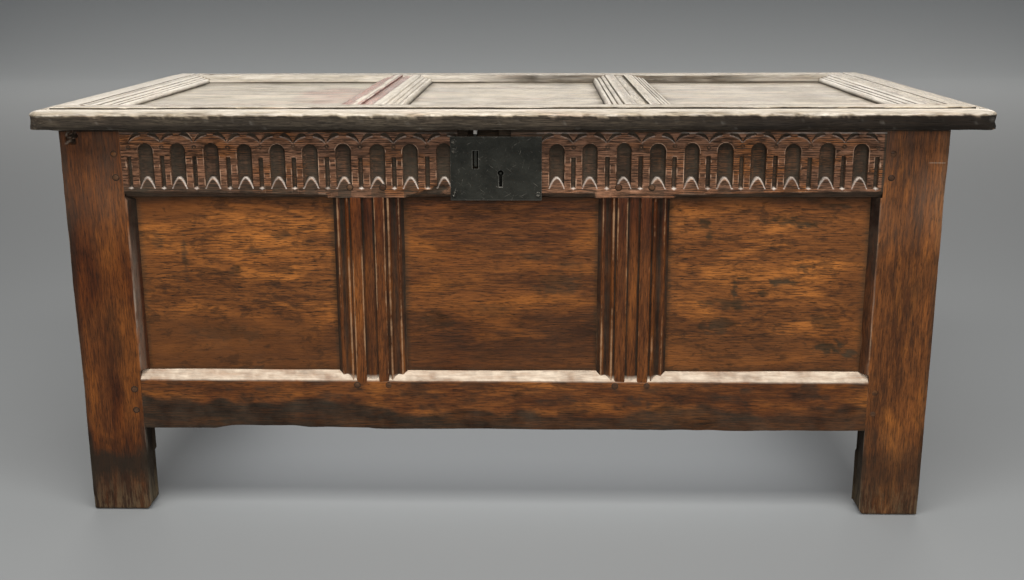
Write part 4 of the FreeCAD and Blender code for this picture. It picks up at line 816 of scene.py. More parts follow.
# The plain rails and muntins of the sides and the back.
def plainFrames():
    foot, height, depth = carcass["foot"], carcass["height"], carcass["stileDepth"]
    thick, muntinThick = carcass["railThick"], carcass["muntinThick"]
    for side, label in ((-1, "left"), (1, "right")):
        x0, x1 = sorted((side * halfLength, side * (halfLength - thick)))
        plainTimber(label + "TopRail", label + "_top_rail", (x0, depth, topLow), (x1, depthAll - depth, height), 1,
                    440 + side, 51 + side)
        plainTimber(label + "BottomRail", label + "_bottom_rail", (x0, depth, foot), (x1, depthAll - depth, railTop), 1,
                    445 + side, 54 + side)
        x0, x1 = sorted((side * halfLength, side * (halfLength - muntinThick)))
        plainTimber(label + "Muntin", label + "_muntin", (x0, 258, railTop), (x1, 342, topLow), 2, 450 + side, 57 + side)
    y0 = depthAll - thick
    plainTimber("backTopRail", "back_top_rail", (-stileInner, y0, topLow), (stileInner, depthAll, height), 0, 460, 61)
    plainTimber("backBottomRail", "back_bottom_rail", (-stileInner, y0, foot), (stileInner, depthAll, railTop), 0, 463, 62)
    for side, label in ((1, "Left"), (-1, "Right")):
        middle, half = side * carcass["muntinMiddle"], carcass["muntinWidth"] / 2
        plainTimber("backMuntin" + label, "back_muntin_" + label.lower(), (middle - half, depthAll - muntinThick, railTop),
                    (middle + half, depthAll, topLow), 2, 466 + side, 64 + side)


floorBoard = {"first": -608.7, "pitch": 304.5, "width": 303.9, "front": 16.5, "back": 583.5, "low": 134.7, "high": 148.5}


# Four boards lie side by side between front and back.
def floorBoards():
    own = floorBoard
    for number in range(4):
        x0 = own["first"] + number * own["pitch"]
        plainTimber(f"floorBoard{number + 1}", f"floor_board_{number + 1}", (x0, own["front"], own["low"]),
                    (x0 + own["width"], own["back"], own["high"]), 1, 480 + number, 71 + number, "innerOak", turn=0.8,
                    spacing=12, step=14, sway=0.4)


frieze = {"pitch": 47.1, "first": 79.8, "count": 10, "halfWidth": 11.0, "depth": 5.2, "foot": 498.6, "crown": 564.0,
          "tongueRise": 15.4, "tongueHalf": 9.9, "bevel": 3.0, "slotHalf": 3.25, "slotDepth": 4.8, "slotTop": 545.0,
          "ringHeight": 559.0, "ringRadius": 2.2, "bandRise": 23.0, "bandSpread": 27.4, "crescent": 6.2,
          "crescentDepth": 3.6, "lineHeight": 498.4, "paleLineHeight": 578.9, "seed": 77}
# The stopped chamfer: its width along x, and the bays that it runs in.
friezeChamfer = [(-538, 9), (-470, 9), (-250, 4.6), (-240, 4.5), (-130, 4.5), (0, 6), (130, 7.5), (240, 4.5), (250, 4.6),
                 (470, 9), (538, 9)]
friezeBays = [(-560, -245.5), (-135.5, 135.5), (245.5, 560)]
# Where wood has broken away, as (x, z, reach across, reach up, depth).
friezeChips = [(-98, 493, 17, 5, 3.0), (-86, 500, 12, 4.5, 2.8), (-112, 490, 10, 4, 2.0), (60, 487, 11, 4, 3.2),
               (-256, 497, 9, 3, 1.6), (-330, 489, 14, 3, 1.4), (188, 500, 7, 4, 1.6), (412, 489, 12, 3, 1.5)]


# The carving at (x, z): its depth; how pale it stands, as rubbed wood and a painted highlight on the tongues'
# bevels (brighter on the outward flank) and on the crescents' upper lips, and pale at the slots' feet; how dark
# its cuts, rings and tongues are; its rubbed lips; and painted shadow under the flutes' crowns and along their
# outer walls. Scooped flutes with round crowns end on a tongue, foot + rise·(1 - |x/w|^1.7), cut back on a
# bevel; between them stand narrow slots under punched rings, and crescents are stabbed in above each arch.
# Every one is a little uneven by hand.
def carvedDepth(x, z):
    f = frieze
    uneven = np.random.RandomState(f["seed"]).uniform(-1, 1, (2, f["count"], 6))
    side = (x > 0).astype(int)
    steps = (np.abs(x) - f["first"]) / f["pitch"]
    k = np.clip(np.round(steps), 0, f["count"] - 1).astype(int)
    own = uneven[side, k]
    across = np.abs(x) - f["first"] - f["pitch"] * k + 0.7 * own[..., 0]
    aside, outward = np.abs(across), across * np.sign(x)
    half = f["halfWidth"] + 0.4 * own[..., 1]
    crown = f["crown"] + 1.0 * own[..., 2]
    spring = crown - half
    reach = np.where(z > spring, np.hypot(across, z - spring), aside)
    inside = held((half - reach) / 7.5)
    scoop = (f["depth"] + 0.5 * own[..., 3]) * np.sqrt(1 - (1 - inside) ** 2)
    wide = f["tongueHalf"] + 0.4 * own[..., 4]
    t = held(aside / wide)
    blunt = 0.012  # rounds the tongue's tip
    point = (t ** 2 + blunt) ** 0.85 - blunt ** 0.85
    slope = 1.7 * f["tongueRise"] * t ** 0.7 / wide * np.exp(-np.clip(aside - wide, 0, None) / 0.7)
    above = (z - f["foot"] - f["tongueRise"] * (1 - point)) / np.sqrt(1 + slope ** 2)
    rise = held(above / f["bevel"])
    depth = scoop * rise * rise * (3 - 2 * rise)
    line = 2.5 - 0.9 * t
    # pale: rubbed wood and a painted highlight on the tongue's upward bevel, brighter on the outward flank.
    pale = held(1.6 * (1 - np.abs(above - 0.5 * line) / (0.5 * line))) * (aside < half + 0.3) * (z < 530)
    flank = np.where(outward > 0, 0.95, 0.66 - 0.1 * own[..., 2])
    pale = pale * (flank * t + 1 - t) * (0.85 + 0.15 * own[..., 5])

    j = np.clip(np.round(steps - 0.5), 0, f["count"] - 1).astype(int)
    other = uneven[side, j]
    slotX = np.abs(x) - f["first"] - f["pitch"] * (j + 0.5) + 0.6 * other[..., 5]
    low = f["foot"] + 0.8
    slot = held((f["slotHalf"] - np.abs(slotX)) / 0.7) * held(f["slotTop"] + 1.5 * other[..., 2] - z) * held((z - low) / 3.4)
    depth = np.maximum(depth, f["slotDepth"] * slot)
    blob = 1.8 * (1 - np.abs(slotX + 0.5 * other[..., 0]) / 4.4 - np.abs(z - low - 0.5) / (2.3 + 0.4 * other[..., 3]))
    pale = np.maximum(pale, (0.8 + 0.2 * other[..., 4]) * held(blob))
    punched = hump(np.hypot(slotX, z - f["ringHeight"] - 1.2 * other[..., 1]) - f["ringRadius"], 1.0)
    depth = depth + 1.5 * punched

    band = spring + f["bandRise"] * np.sqrt(np.clip(1 - (across / f["bandSpread"]) ** 2, 0, 1))
    share = held((aside - 4.2) / 19.3)
    thick = f["crescent"] * np.sin(math.pi * share ** 0.95) ** 0.8
    up = (z - band) / np.maximum(thick, 0.01)
    cut = np.where((up > 0) & (up < 1) & (thick > 0.4), f["crescentDepth"] * (1 - up ** 2) ** 0.7, 0)
    depth = np.maximum(depth, cut * held(thick / 2.5))
    # lit: a painted highlight on each crescent's upper lip.
    lit = hump(z - band + 0.9, 0.7) * (share > 0.05) * (share < 0.97)
    lip = hump(reach - half - 0.5, 0.7) * (z > f["foot"] + 6) + 0.8 * hump(np.abs(slotX) - 4.2, 0.6) * (z < f["slotTop"])
    inTongue = (aside < wide) * held(-above / 1.5)
    dark = np.maximum(np.maximum(0.95 * punched, held(cut / 1.2)), inTongue * np.clip(0.75 - (x + 200) / 500, 0.3, 0.85))
    # Painted shadow under each flute's crown and along its outer wall.
    crownShade = held((z - crown + 12) / 7) + held((outward - half + 3.4) / 2)
    shade = crownShade * (reach < half - 0.4) * (above > f["bevel"])
    return depth, np.maximum(pale, 0.42 * lit * (0.8 + 0.4 * own[..., 1])), dark, lip, held(shade)


# The hollow for the lock, as spans of x, with its floor, its roof behind the plate's top, and its depths.
lockHollow = {"case": (-60, 46), "mouth": (-46, -2), "lip": (-60, 15), "floor": 498.5, "roof": 568, "plateTop": 574,
              "depth": 20, "lipDepth": 7}


# How deep the lock's hollow goes in at (x, z).
def hollowDepth(x, z):
    h = lockHollow
    case, mouth, lip = [(x > h[key][0]) & (x < h[key][1]) for key in ("case", "mouth", "lip")]
    inside = (z > h["floor"]) & (mouth | case & (z < h["roof"]))
    return np.maximum(h["depth"] * inside, h["lipDepth"] * (lip & (z > h["plateTop"])))


# Stops along the carving: closest over each flute's walls, and a pair at each wall of the lock's hollow.
def friezeStations():
    half = np.array([0, 1.5, 3, 4.3, 5.5, 6.6, 7.6, 8.5, 9.3, 10, 10.6, 11.2, 11.9, 13.2, 15, 17, 18.8, 19.8, 20.5, 21.7,
                     22.6, 23.55])
    stops = np.concatenate([-half[::-1], half[1:]])
    centres = frieze["first"] + frieze["pitch"] * np.arange(frieze["count"])
    ends = np.array([529, 530.5, 532, 534, 536, 537.2, 537.8, 538.0])
    places = np.concatenate([(centres[:, None] + stops).ravel(), np.arange(0, 56, 2.0), ends])
    walls = [wall + d for key in ("case", "mouth", "lip") for wall in lockHollow[key] for d in (-0.15, 0.15)]
    places = np.unique(np.round(np.concatenate([-places, places, walls]), 3))
    return places[np.concatenate([[True], np.diff(places) > 0.05])]


# Heights up the carving, closest at the tongues, the slots' tops and the scratched line.
def friezeHeights():
    runs = [(topLow, 498.3, 9), (498.7, 518, 16), (518, 543, 8), (543, 547, 4), (547, 583, 31)]
    extra = [567.9, 568.1, 573.9, 574.1, 578.2, 578.9, 579.7, 580.3, 584, 585, 585.6, 586]
    return np.unique(np.concatenate([*(np.linspace(*run) for run in runs), extra]))


# Each value averaged with its neighbours along and up, some times over.
def gridBlur(values, times):
    for _ in range(times):
        values = (values + np.roll(values, 1, 0) + np.roll(values, -1, 0)) / 3
        padded = np.pad(values, ((0, 0), (1, 1)), mode="edge")
        values = (values + padded[:, 2:] + padded[:, :-2]) / 3
    return values


# The top rail's face is a grid over (x, z) whose depth is the carving, the chamfer, the chips and a patchy
# sway added up; its back and top follow as the rest of each ring.
def carvedRail():
    f, top = frieze, carcass["height"]
    x = friezeStations()
    gridX, gridZ = np.meshgrid(x, friezeHeights(), indexing="ij")
    depth, pale, dark, lip, shade = carvedDepth(gridX, gridZ)
    inBay = sum(held((gridX - a) / 5) * held((b - gridX) / 5) for a, b in friezeBays)
    chamfer = np.interp(gridX, *zip(*friezeChamfer))
    depth = np.maximum(depth, np.clip(topLow + chamfer - gridZ, 0, None) * inBay * 9 / chamfer * 0.9)
    depth += 0.45 * hump(gridZ - f["lineHeight"] + 1.2, 0.6) * held(0.5 - gridX / 500)
    for chipX, chipZ, reachX, reachZ, amount in friezeChips:
        depth += amount * hump(((gridX - chipX) / reachX) ** 2 + ((gridZ - chipZ) / reachZ) ** 2, 1.0)
    points = np.stack([gridX, depth, gridZ], -1)
    depth += 0.25 * patchy(points, 601, (9, 9, 3)) + 0.35 * patchy(points, 602, 60)
    arrisRound = 1.2
    edge = np.clip(arrisRound - (top - gridZ), 0, arrisRound)
    depth += arrisRound - np.sqrt(arrisRound ** 2 - edge ** 2)
    depth += 0.8 * mottled(points, 603, 25) * ramp(gridZ, top - 3, top)
    depth = np.clip(depth, -0.2, None)

    rubbed = mottled(points, 604, (22, 9, 7), 0.45, 0.9)
    wear = np.clip((gridBlur(depth, 3) - depth) / 0.9, 0, 0.75) * rubbed
    wear = np.maximum(wear, 0.85 * lip * (depth < 1.4) * held(0.3 + rubbed))
    wear = np.maximum(wear, 0.85 * hump(gridZ - topLow - chamfer, 1.0) * inBay * rubbed)
    # A painted highlight along the rail's top arris, strongest right of the plate.
    pale = np.maximum(pale, np.where(gridX > 50, 0.4, 0.12) * rubbed * (np.abs(gridZ - f["paleLineHeight"]) < 0.8))
    # Dirt and painted shade lie thickest along the walls and in the deeper cuts, darker on the right-hand walls,
    # thinner and streaky on the floors.
    floorTone = 0.72 + 0.22 * patchy(points, 605, (47, 20, 300)) + 0.2 * patchy(points, 606, (3.2, 20, 24))
    walls = held(np.abs(gridBlur(depth, 2) - depth) * 1.6) + held(-np.gradient(depth, x, axis=0))
    dirtAndShade = held((depth - 0.7) / 1.8) * held(floorTone + walls)
    # The stopped chamfer under the carving faces down: painted shade.
    dirtAndShade = np.where((gridZ < topLow + chamfer) & (inBay > 0.3), 0.85, dirtAndShade)
    lowBand = ramp(gridZ, 506, 501) * np.clip(-0.38 - gridX / 300, 0, 0.75)
    dirtAndShade = np.maximum(dirtAndShade, lowBand * (1 + 0.4 * patchy(points, 607, (30, 9, 6))))
    dirtAndShade = np.maximum(dirtAndShade, dark)
    # Painted shadow in the gap above the lock plate.
    dirtAndShade = np.maximum(dirtAndShade, 0.7 * (gridX > -75) * (gridX < 62) * (gridZ > 573))
    dirtAndShade *= 1 - 0.95 * pale
    # A painted shadow line under the lid's overhang, and dark at the right end's joint.
    dirtAndShade = np.where((gridZ > 579.9) | (gridX > 535.9), 1.0, dirtAndShade)
    hollow = hollowDepth(gridX, gridZ)
    depth = np.maximum(depth, hollow)
    # Painted shadow inside the lock's hollow and the gap above the plate.
    dirtAndShade = np.where(hollow > 0, 1.0, dirtAndShade)
    masks = {"shade": 0.8 * shade, "wear": wear * (hollow == 0), "pale": pale * (hollow == 0), "dirtAndShade": held(dirtAndShade)}

    thick = carcass["railThick"]
    rest = [(9.6 + 6 * k, topLow) for k in range(3)] + [(thick, h) for h in np.linspace(topLow, top, 8)]
    rest = np.array(rest + [(20, top), (11, top), (4, top)], float)
    tail = np.zeros((len(x), len(rest), 3))
    tail[..., 0] = x[:, None]
    tail[..., 1:] = rest
    tail[..., 1] = np.maximum(tail[..., 1], np.where(rest[:, 1] > top - 1, depth[:, -1:], 0))
    zeros = np.zeros((len(x), len(rest)))
    shape = {key: np.concatenate([mask[:, ::-1], zeros], 1) for key, mask in masks.items()}
    shape["rings"] = np.concatenate([np.stack([gridX, depth, gridZ], -1)[:, ::-1], tail], 1)
    shape["innerFrom"] = 22
    addTimber("friezeRail", shape, "friezeOakX", "front_top_rail", 17)


# Heads of pegs and nails as turned profiles of (radius, height): a low dome that stands in a dark ring,
# and a nail's head, hollow round its middle. The places are (x, z) on the lock plate.
heads = {"radius": 4.0, "around": 20, "seed": 620, "tenons": ((498.5, 566), (146.5, 212)), "fromShoulder": 10,
         "muntinPegs": 23.4, "nailPlaces": ((-65.5, 492), (53.5, 492), (-65.5, 567.4), (-65.5, 554.4)), "plateFace": -1.6}
pegProfile = np.array([(1.32, -0.6), (1.32, 0.06), (1.16, 0.22), (1.02, 0.10), (0.98, 0.30), (0.80, 0.62), (0.45, 0.86),
                       (0.12, 0.92)])
nailProfile = np.array([(1.0, -0.3), (1.0, 0.75), (0.93, 1.15), (0.80, 1.32), (0.68, 1.22), (0.52, 0.86), (0.3, 0.66),
                        (0.08, 0.6)])


# Turned heads at places (x, y, z, share of its height), pointing along an axis. Each profile is swept through
# a full turn, has a face over each end, and all of them make one mesh with its faces turned outwards.
def pegHeads(name, places, axis, sign, node, profile=pegProfile, finish=oak["pegOakX"]):
    draw = np.random.RandomState(heads["seed"])
    turn = np.linspace(0, 2 * math.pi, heads["around"], endpoint=False)
    others = [k for k in range(3) if k != axis]
    reach, height = profile[:, :1], profile[:, 1:]
    quads, corner = ringFaces(len(profile), len(turn))
    parts, faces = [], []
    for number, (*place, share) in enumerate(places):
        size = heads["radius"] * draw.uniform(0.94, 1.0)
        proud = share * (draw.uniform(0.3, 1.0) if profile is pegProfile else 1.0)
        points = np.zeros((*corner.shape, 3)) + place
        points[..., others[0]] += size * reach * np.cos(turn)
        points[..., others[1]] += size * reach * np.sin(turn) * draw.uniform(0.92, 1.0)
        points[..., axis] += sign * np.where(height > 0.25, height * proud, height)
        points = points.reshape(-1, 3)
        a, b, c = points[quads[:, :3]].swapaxes(0, 1)
        outward = np.sum(np.cross(b - a, c - a) * (a - points.mean(0))) > 0
        for group in (quads, corner[-1:], corner[:1, ::-1]):
            faces += ((group if outward else group[:, ::-1]) + number * corner.size).tolist()
        parts.append(points)
    mesh = bpy.data.meshes.new(name)
    mesh.from_pydata(toFrame(np.concatenate(parts)).tolist(), [], faces)
    mesh.validate()
    level = np.tile(np.repeat(height, len(turn)), len(parts))
    masks = {"wear": np.where(level > 0.5, 0.5, 0.0), "dirtAndShade": np.where(level < 0.25, 1.0, 0.15)}
    addPiece(name, mesh, "carcass", [node], [finish], masks, sharp=False)


# The pegs of the front's and the back's joints, at a quarter and three quarters of each tenon's height.
def allPegs():
    rim = stileInner + heads["fromShoulder"]
    heights = [low + (high - low) * share for low, high in heads["tenons"] for share in (0.25, 0.75)]
    muntinX = [side * carcass["muntinMiddle"] + d for side in (-1, 1) for d in (-heads["muntinPegs"], heads["muntinPegs"])]
    front = [(side * rim, 0.0, z, 0.1 if side < 0 and z < 300 else 1.0) for side in (-1, 1) for z in heights]
    front += [(x, 0.0, z, 1.0) for x in muntinX for z in (topLow + 15, chamferLow - 7.5)]
    pegHeads("frontPegHeads", front, 1, -1, "front_pegs")
    pegHeads("backPegHeads", [(x, depthAll, z, 1.0) for x, _, z, _ in front], 1, 1, "back_pegs")


lid = {"left": -661, "right": 684, "front": -27, "bottom": 586, "top": 615, "railBack": 37, "rearFront": 533,
       "strapMiddle": 193, "strapTip": 350, "thumb": 27, "drop": 7.6, "quirk": 2.2, "leftInner": -560, "rightInner": 568,
       "lineInset": 56, "muntins": (-193, 203), "muntinWidth": 100, "rearEnds": (-587, 595), "groove": 8, "seed": 700,
       "panels": {"Left": (-568, -235), "Middle": (-151, 161), "Right": (245, 576)}, "panelHeights": (594, 602),
       "redPatch": (-282, 290, 62, 120)}
lidEdge = [(0, 13), (0.4, 12), (4.2, 6.6), (5.0, 5.8), (8.0, 5.4), (8.7, 6.6), (9.4, 6.6), (10.2, 4.8), (12.5, 3.9),
           (15.0, 4.0), (15.8, 5.2), (16.4, 5.2), (17.2, 3.4), (19.0, 2.2), (22.0, 1.6), (22.8, 2.8), (23.6, 2.8),
           (24.6, 0.9), (25.6, 0.2), (27.6, 0)]
# Tones across a moulding, as (distance in from its panel, strength): bare wood and painted highlights on the arrises,
# painted light on the ogees that face away from the light, dirt in the hollows, and a painted shadow along the panel.
edgePale = [(2.4, 0), (3.0, 0.95), (7.9, 0.9), (8.4, 0), (10.0, 0), (10.5, 0.9), (12.5, 0.6), (14.8, 0.85), (15.3, 0),
            (17.0, 0), (17.5, 0.9), (20, 0.6), (21.8, 0.85), (22.3, 0), (24.4, 0), (25, 0.95), (28.5, 0.7), (31, 0)]
edgeDirtAndShade = [(0, 0.95), (1.9, 0.92), (2.6, 0), (8.1, 0), (8.6, 0.92), (9.6, 0.92), (10.1, 0), (15.1, 0), (15.6, 0.88),
             (16.6, 0.88), (17.1, 0), (22.1, 0), (22.7, 0.92), (23.9, 0.92), (24.4, 0)]


# The rounded nose as (distance in from the outer edge, drop from the top): a quirk, then a curve with
# (across / thumb)^2.6 + (1 - fall / drop)^2 = 1, which stays near level and turns down late.
def thumbProfile():
    thumb = lid["thumb"]
    across = thumb * np.sin(np.linspace(0.12, math.pi / 2, 12)) ** 0.9
    fall = lid["drop"] * (1 - np.sqrt(np.clip(1 - (across / thumb) ** 2.6, 0, 1)))
    nose = [(thumb - a, lid["quirk"] + b) for a, b in zip(across, fall)]
    return [(thumb + 0.4, 0), (thumb, 3.4), (thumb - 1.4, 3.7)] + nose + [(0, 23), (3, 29)]


# Lays a moulding's dirt and painted shadow over a timber's own, which is thinned to its deepest part, and gives its
# pale tones, which hold painted light.
def mouldingTones(shape, inward, shown):
    dirtAndShade = np.interp(inward, *zip(*edgeDirtAndShade))
    shape["dirtAndShade"] = np.maximum(held(2.4 * shape["dirtAndShade"] - 1.2), dirtAndShade * shown)
    return np.interp(inward, *zip(*edgePale))


# The front rail's nose turns round both corners: there the way in from the outline sets the height.
def lidFrontRail():
    top, front, reach = lid["top"], lid["front"], lid["thumb"]
    thumb = np.array(thumbProfile())
    outline = [(lid["railBack"], lid["bottom"]), (lid["railBack"], top)] + [(front + u, top - d) for u, d in thumb]
    stops = np.concatenate([lid["left"] + thumb[:-1, 0], lid["right"] - thumb[:-1, 0]])
    shape = carry(outline, 0, lid["left"], lid["right"], lid["seed"], fresh=0.5, worn=1.6, spacing=5, step=3.2, turn=0.4,
                  sway=0.25, wearSize=(45, 30, 30), extra=stops)
    rings = shape["rings"]
    x, y, z = np.moveaxis(rings, -1, 0)
    for edge, sign in ((lid["left"], -1), (lid["right"], 1)):
        roundCorner(shape, 0, edge, sign, 1, front, -1, reach)
    fromEnd = np.minimum(x - lid["left"], lid["right"] - x)
    fromFront = y - front
    corner = (fromEnd < reach) & (fromFront < reach)
    gap = np.where(corner, reach - np.hypot(reach - fromEnd, reach - fromFront), fromEnd)
    ceiling = top - np.interp(gap, *thumb[:-2][np.argsort(thumb[:-2, 0])].T)
    floorLevel = lid["bottom"] + np.interp(fromEnd, [0, 3], [6, 0])
    z[...] = np.clip(z, floorLevel, np.maximum(ceiling, floorLevel))
    nosy = ramp(y, -3, -11)
    z += nosy * (0.55 * patchy(rings, 711, (14, 9, 9)) - 0.9 * mottled(rings, 712, (32, 12, 8)))
    y += nosy * 0.6 * np.clip(patchy(rings, 713, (22, 12, 7)), -0.2, 1)
    # Pale above a ragged line, as bare wood and a painted highlight where the nose turns up to the light, and handled,
    # dirty wood under it.
    ragged = z + 1.3 * patchy(rings, 714, (12, 12, 4)) + 0.8 * patchy(rings, 715, (4, 4, 4))
    shape["pale"] = 0.72 * ramp(ragged, 606.4, 607.6) * (y < -2.4) * mottled(rings, 716, (30, 9, 7), 0.72, 0.75)
    deepen(shape, "pale", 0.66 * ramp(z, 609.6, 610.8) * (y < -2.4))
    # A painted shadow in the quirk behind the nose.
    shape["dirtAndShade"][(y > -2.0) & (y < 0.5) & (z > 600)] = 1.0
    handled = ramp(ragged, 606.2, 604.8)
    deepen(shape, "pale", 0.12 * handled * mottled(rings, 718, (9, 20, 1.6), -1.65, 3))
    rightward = held(x / 660)
    deepen(shape, "dirtAndShade", held(0.93 + 0.05 * rightward + 0.1 * patchy(rings, 717, (60, 20, 9))) * handled)
    shape["shade"] = (0.25 + 0.75 * rightward) * handled
    addTimber("lidFrontRail", shape, "lidOakX", "lid_front_rail", 81)


# The lid's end stiles: moulding, scratched line and nose carried along y. Tones follow the distance in from
# the panel, and beside the line they follow e^-(distance)^2.
def lidStiles():
    top = lid["top"]
    for side, label, endPale in ((-1, "Left", 0.65), (1, "Right", 0.2)):
        outer, inner = lid[label.lower()], lid[label.lower() + "Inner"]
        line = outer - side * lid["lineInset"]
        outline = [(inner, lid["bottom"])] + [(inner + side * u, top - d) for u, d in lidEdge]
        outline += [(line - side * 2.2, top), (line, top - 2.8), (line + side * 2.2, top)]
        outline += [(outer - side * u, top - d) for u, d in thumbProfile()]
        shape = carry(outline, 1, lid["railBack"], depthAll, 720 + side, fresh=0.35, worn=1.2, spacing=5, step=6, turn=0.5,
                      sway=0.4, wearSize=(30, 80, 30))
        x, y, z = np.moveaxis(shape["rings"], -1, 0)
        shown = (z > 600.5) & (y < lid["rearFront"] + 2)
        pale = mouldingTones(shape, side * (x - inner), shown)
        besideLine = hump(np.abs(x - line) - 3.4, 1.0) * (z > 613)
        shape["pale"] = np.maximum(pale * shown, 0.7 * besideLine) * mottled(shape["rings"], 726, (9, 60, 9), 0.8, 0.5)
        deepen(shape, "pale", endPale * (side * (x - line) > 4) * (z > 606))
        scratch = hump(x - line, 2.4, 4) * (z > 606) * np.interp(y, [40, 560], [1.0, 0.7])
        deepen(shape, "dirtAndShade", scratch)
        shape["pale"] *= 1 - scratch
        addTimber("lidStile" + label, shape, "lidOakY", "lid_stile_" + label.lower(), 84 + side)


# Sets the lid's underside a little back round the two hinge straps, so that their iron shows in the wood.
def letInStraps(shape):
    x, y, z = np.moveaxis(shape["rings"], -1, 0)
    away = np.abs(np.abs(x) - lid["strapMiddle"])
    z += ramp(away, 29, 25) * ramp(y, lid["strapTip"] - 10, lid["strapTip"] - 6) * (z < 588) * (lid["bottom"] + 0.8 - z)


# The lid's muntins: the reeded outline carried along y, with tones by the distance in from the panels.
def lidMuntins():
    width, thick = lid["muntinWidth"], lid["top"] - lid["bottom"]
    for number, label in enumerate(("Left", "Right")):
        middle, red = lid["muntins"][number], number == 0
        outline = [(middle + u, lid["top"] - d) for u, d in muntinOutline(width, thick, lidEdge)]
        shape = carry(outline, 1, lid["railBack"], lid["rearFront"] + 27, 730 + number, fresh=0.3, worn=1.0, spacing=4,
                      step=7, turn=0.5, sway=0.35, wearSize=(30, 80, 30))
        letInStraps(shape)
        rings = shape["rings"]
        x, y, z = np.moveaxis(rings, -1, 0)
        off = np.abs(x - middle)
        shown = z > 600.5
        pale = mouldingTones(shape, width / 2 - off, shown)
        uneven = mottled(rings, 736 + number, (9, 60, 9), 0.8, 0.5)
        shape["pale"] = np.maximum(pale, 0.9 * hump(off - 10.8, 1.0)) * shown * uneven
        shape["dirtAndShade"][(np.abs(off - 8.4) < 1.0) & (z > 610)] = 0.35 if red else 0.9
        if red:  # old red paint in two bands, bare wood between and beside them
            u = x - middle + 1.5 * patchy(rings, 739, (9, 60, 9))
            bands = np.interp(u, [-52, -50, -22, -20, -14, -12, 10, 12], [0, 1, 1, 0, 0, 1, 1, 0]) * shown
            shape["shade"] = bands * mottled(rings, 738, (9, 80, 9), 1.1, 0.5)
            paleWood = np.where(u < 20, 0.9, 0.5) * (z > 604) * (off < 46)
            shape["pale"] = np.where(bands > 0.3, 0.1 * shape["pale"], np.maximum(shape["pale"], paleWood))
            shape["dirtAndShade"] *= np.where(z > 604, np.where(u > 20, 0.45, 0.6), 1.0)
        addTimber("lidMuntin" + label, shape, "redLidOakY" if red else "lidOakY", "lid_muntin_" + label.lower(), 86 + number,
                  shade=0.0 if red else 0.15)


# The lid's rear rail: a moulded section carried along x, painted pale at the left as bare wood lit from the front
# above, and stained from the middle on.
def lidRearRail():
    front, top, bottom = lid["rearFront"], lid["top"], lid["bottom"]
    outline = [(front, bottom)] + [(front + u, top - d) for u, d in mouldedEdge] + [(depthAll, top), (depthAll, bottom)]
    shape = carry(outline, 0, *lid["rearEnds"], 740, fresh=0.4, worn=1.3, spacing=2.5, step=6, turn=0.5, sway=0.5)
    letInStraps(shape)
    rings = shape["rings"]
    x, y, z = np.moveaxis(rings, -1, 0)
    sloping = (y < 562) & (z > 604.2)
    stained = np.interp(x, [-70, 40, 380, 470, 580], [0, 0.95, 0.95, 0.6, 0.45]) * mottled(rings, 745, (30, 9, 6), 1.0, 0.4)
    arris = hump(y - front - 28.4, 1.6) + hump(y - front - 21.8, 1.0)
    paleWood = 0.85 * (1 - stained) * mottled(rings, 744, (60, 9, 9), 0.8, 0.5)
    shape["pale"] = sloping * np.maximum(paleWood, 0.9 * arris)
    shape["shade"] = sloping * stained * (arris < 0.4)
    soiled = 0.5 * shape["shade"] * mottled(rings, 746, (22, 9, 5), 0.8, 0.8)
    backLine = 0.6 * hump(y - 586, 2.2) * (z > 606) * np.interp(x, [-120, -60], [1.0, 0.3])
    shape["dirtAndShade"] = np.maximum(np.maximum(shape["dirtAndShade"] * 0.5, soiled), backLine)
    # A painted shadow along the foot, where the rail meets the panel.
    shape["dirtAndShade"][(y < 545) & (z <= 604.2)] = 1.0
    addTimber("lidRearRail", shape, "lidOakX", "lid_rear_rail", 89)


# The sunk panels: thin boards, with painted shade that thins out from their edges as e^-(gap / 6 mm).
def lidPanels():
    front, back, groove = lid["railBack"], lid["rearFront"], lid["groove"]
    for number, (label, (x0, x1)) in enumerate(lid["panels"].items()):
        outline = rectangle(front - groove, back + groove, *lid["panelHeights"])
        shape = carry(outline, 0, x0, x1, 750 + number, spacing=9, step=8, turn=0.8, sway=0.7)
        rings = shape["rings"]
        x, y, z = np.moveaxis(rings, -1, 0)
        gap = np.minimum(np.minimum(x - x0, x1 - x) - groove, np.minimum(y - front, back - y))
        shape["dirtAndShade"] = 0.7 * hump(np.clip(gap, 0, None), 6.0, 1)
        shape["wear"] *= 0
        shape["shade"] = 0.55 * mottled(rings, 760 + number, (50, 42, 9), -0.1)
        shape["pale"] = 0.6 * mottled(rings, 764 + number, (44, 30, 9), -0.1)
        pink = label == "Left"
        if pink:
            deepen(shape, "pale", 0.3 * mottled(rings, 759, (60, 40, 9), 0.6))
            patchX, patchY, reachX, reachY = lid["redPatch"]
            spot = ((x - patchX) / reachX) ** 2 + ((y - patchY) / reachY) ** 2
            shape["shade"] = 0.6 * held(1.5 - spot + 0.7 * patchy(rings, 758, (24, 60, 9)))
        addTimber("lidPanel" + label, shape, "redLidOakX" if pink else "lidOakX", "lid_panel_" + label.lower(),
                  91 + number, shade=0.0)


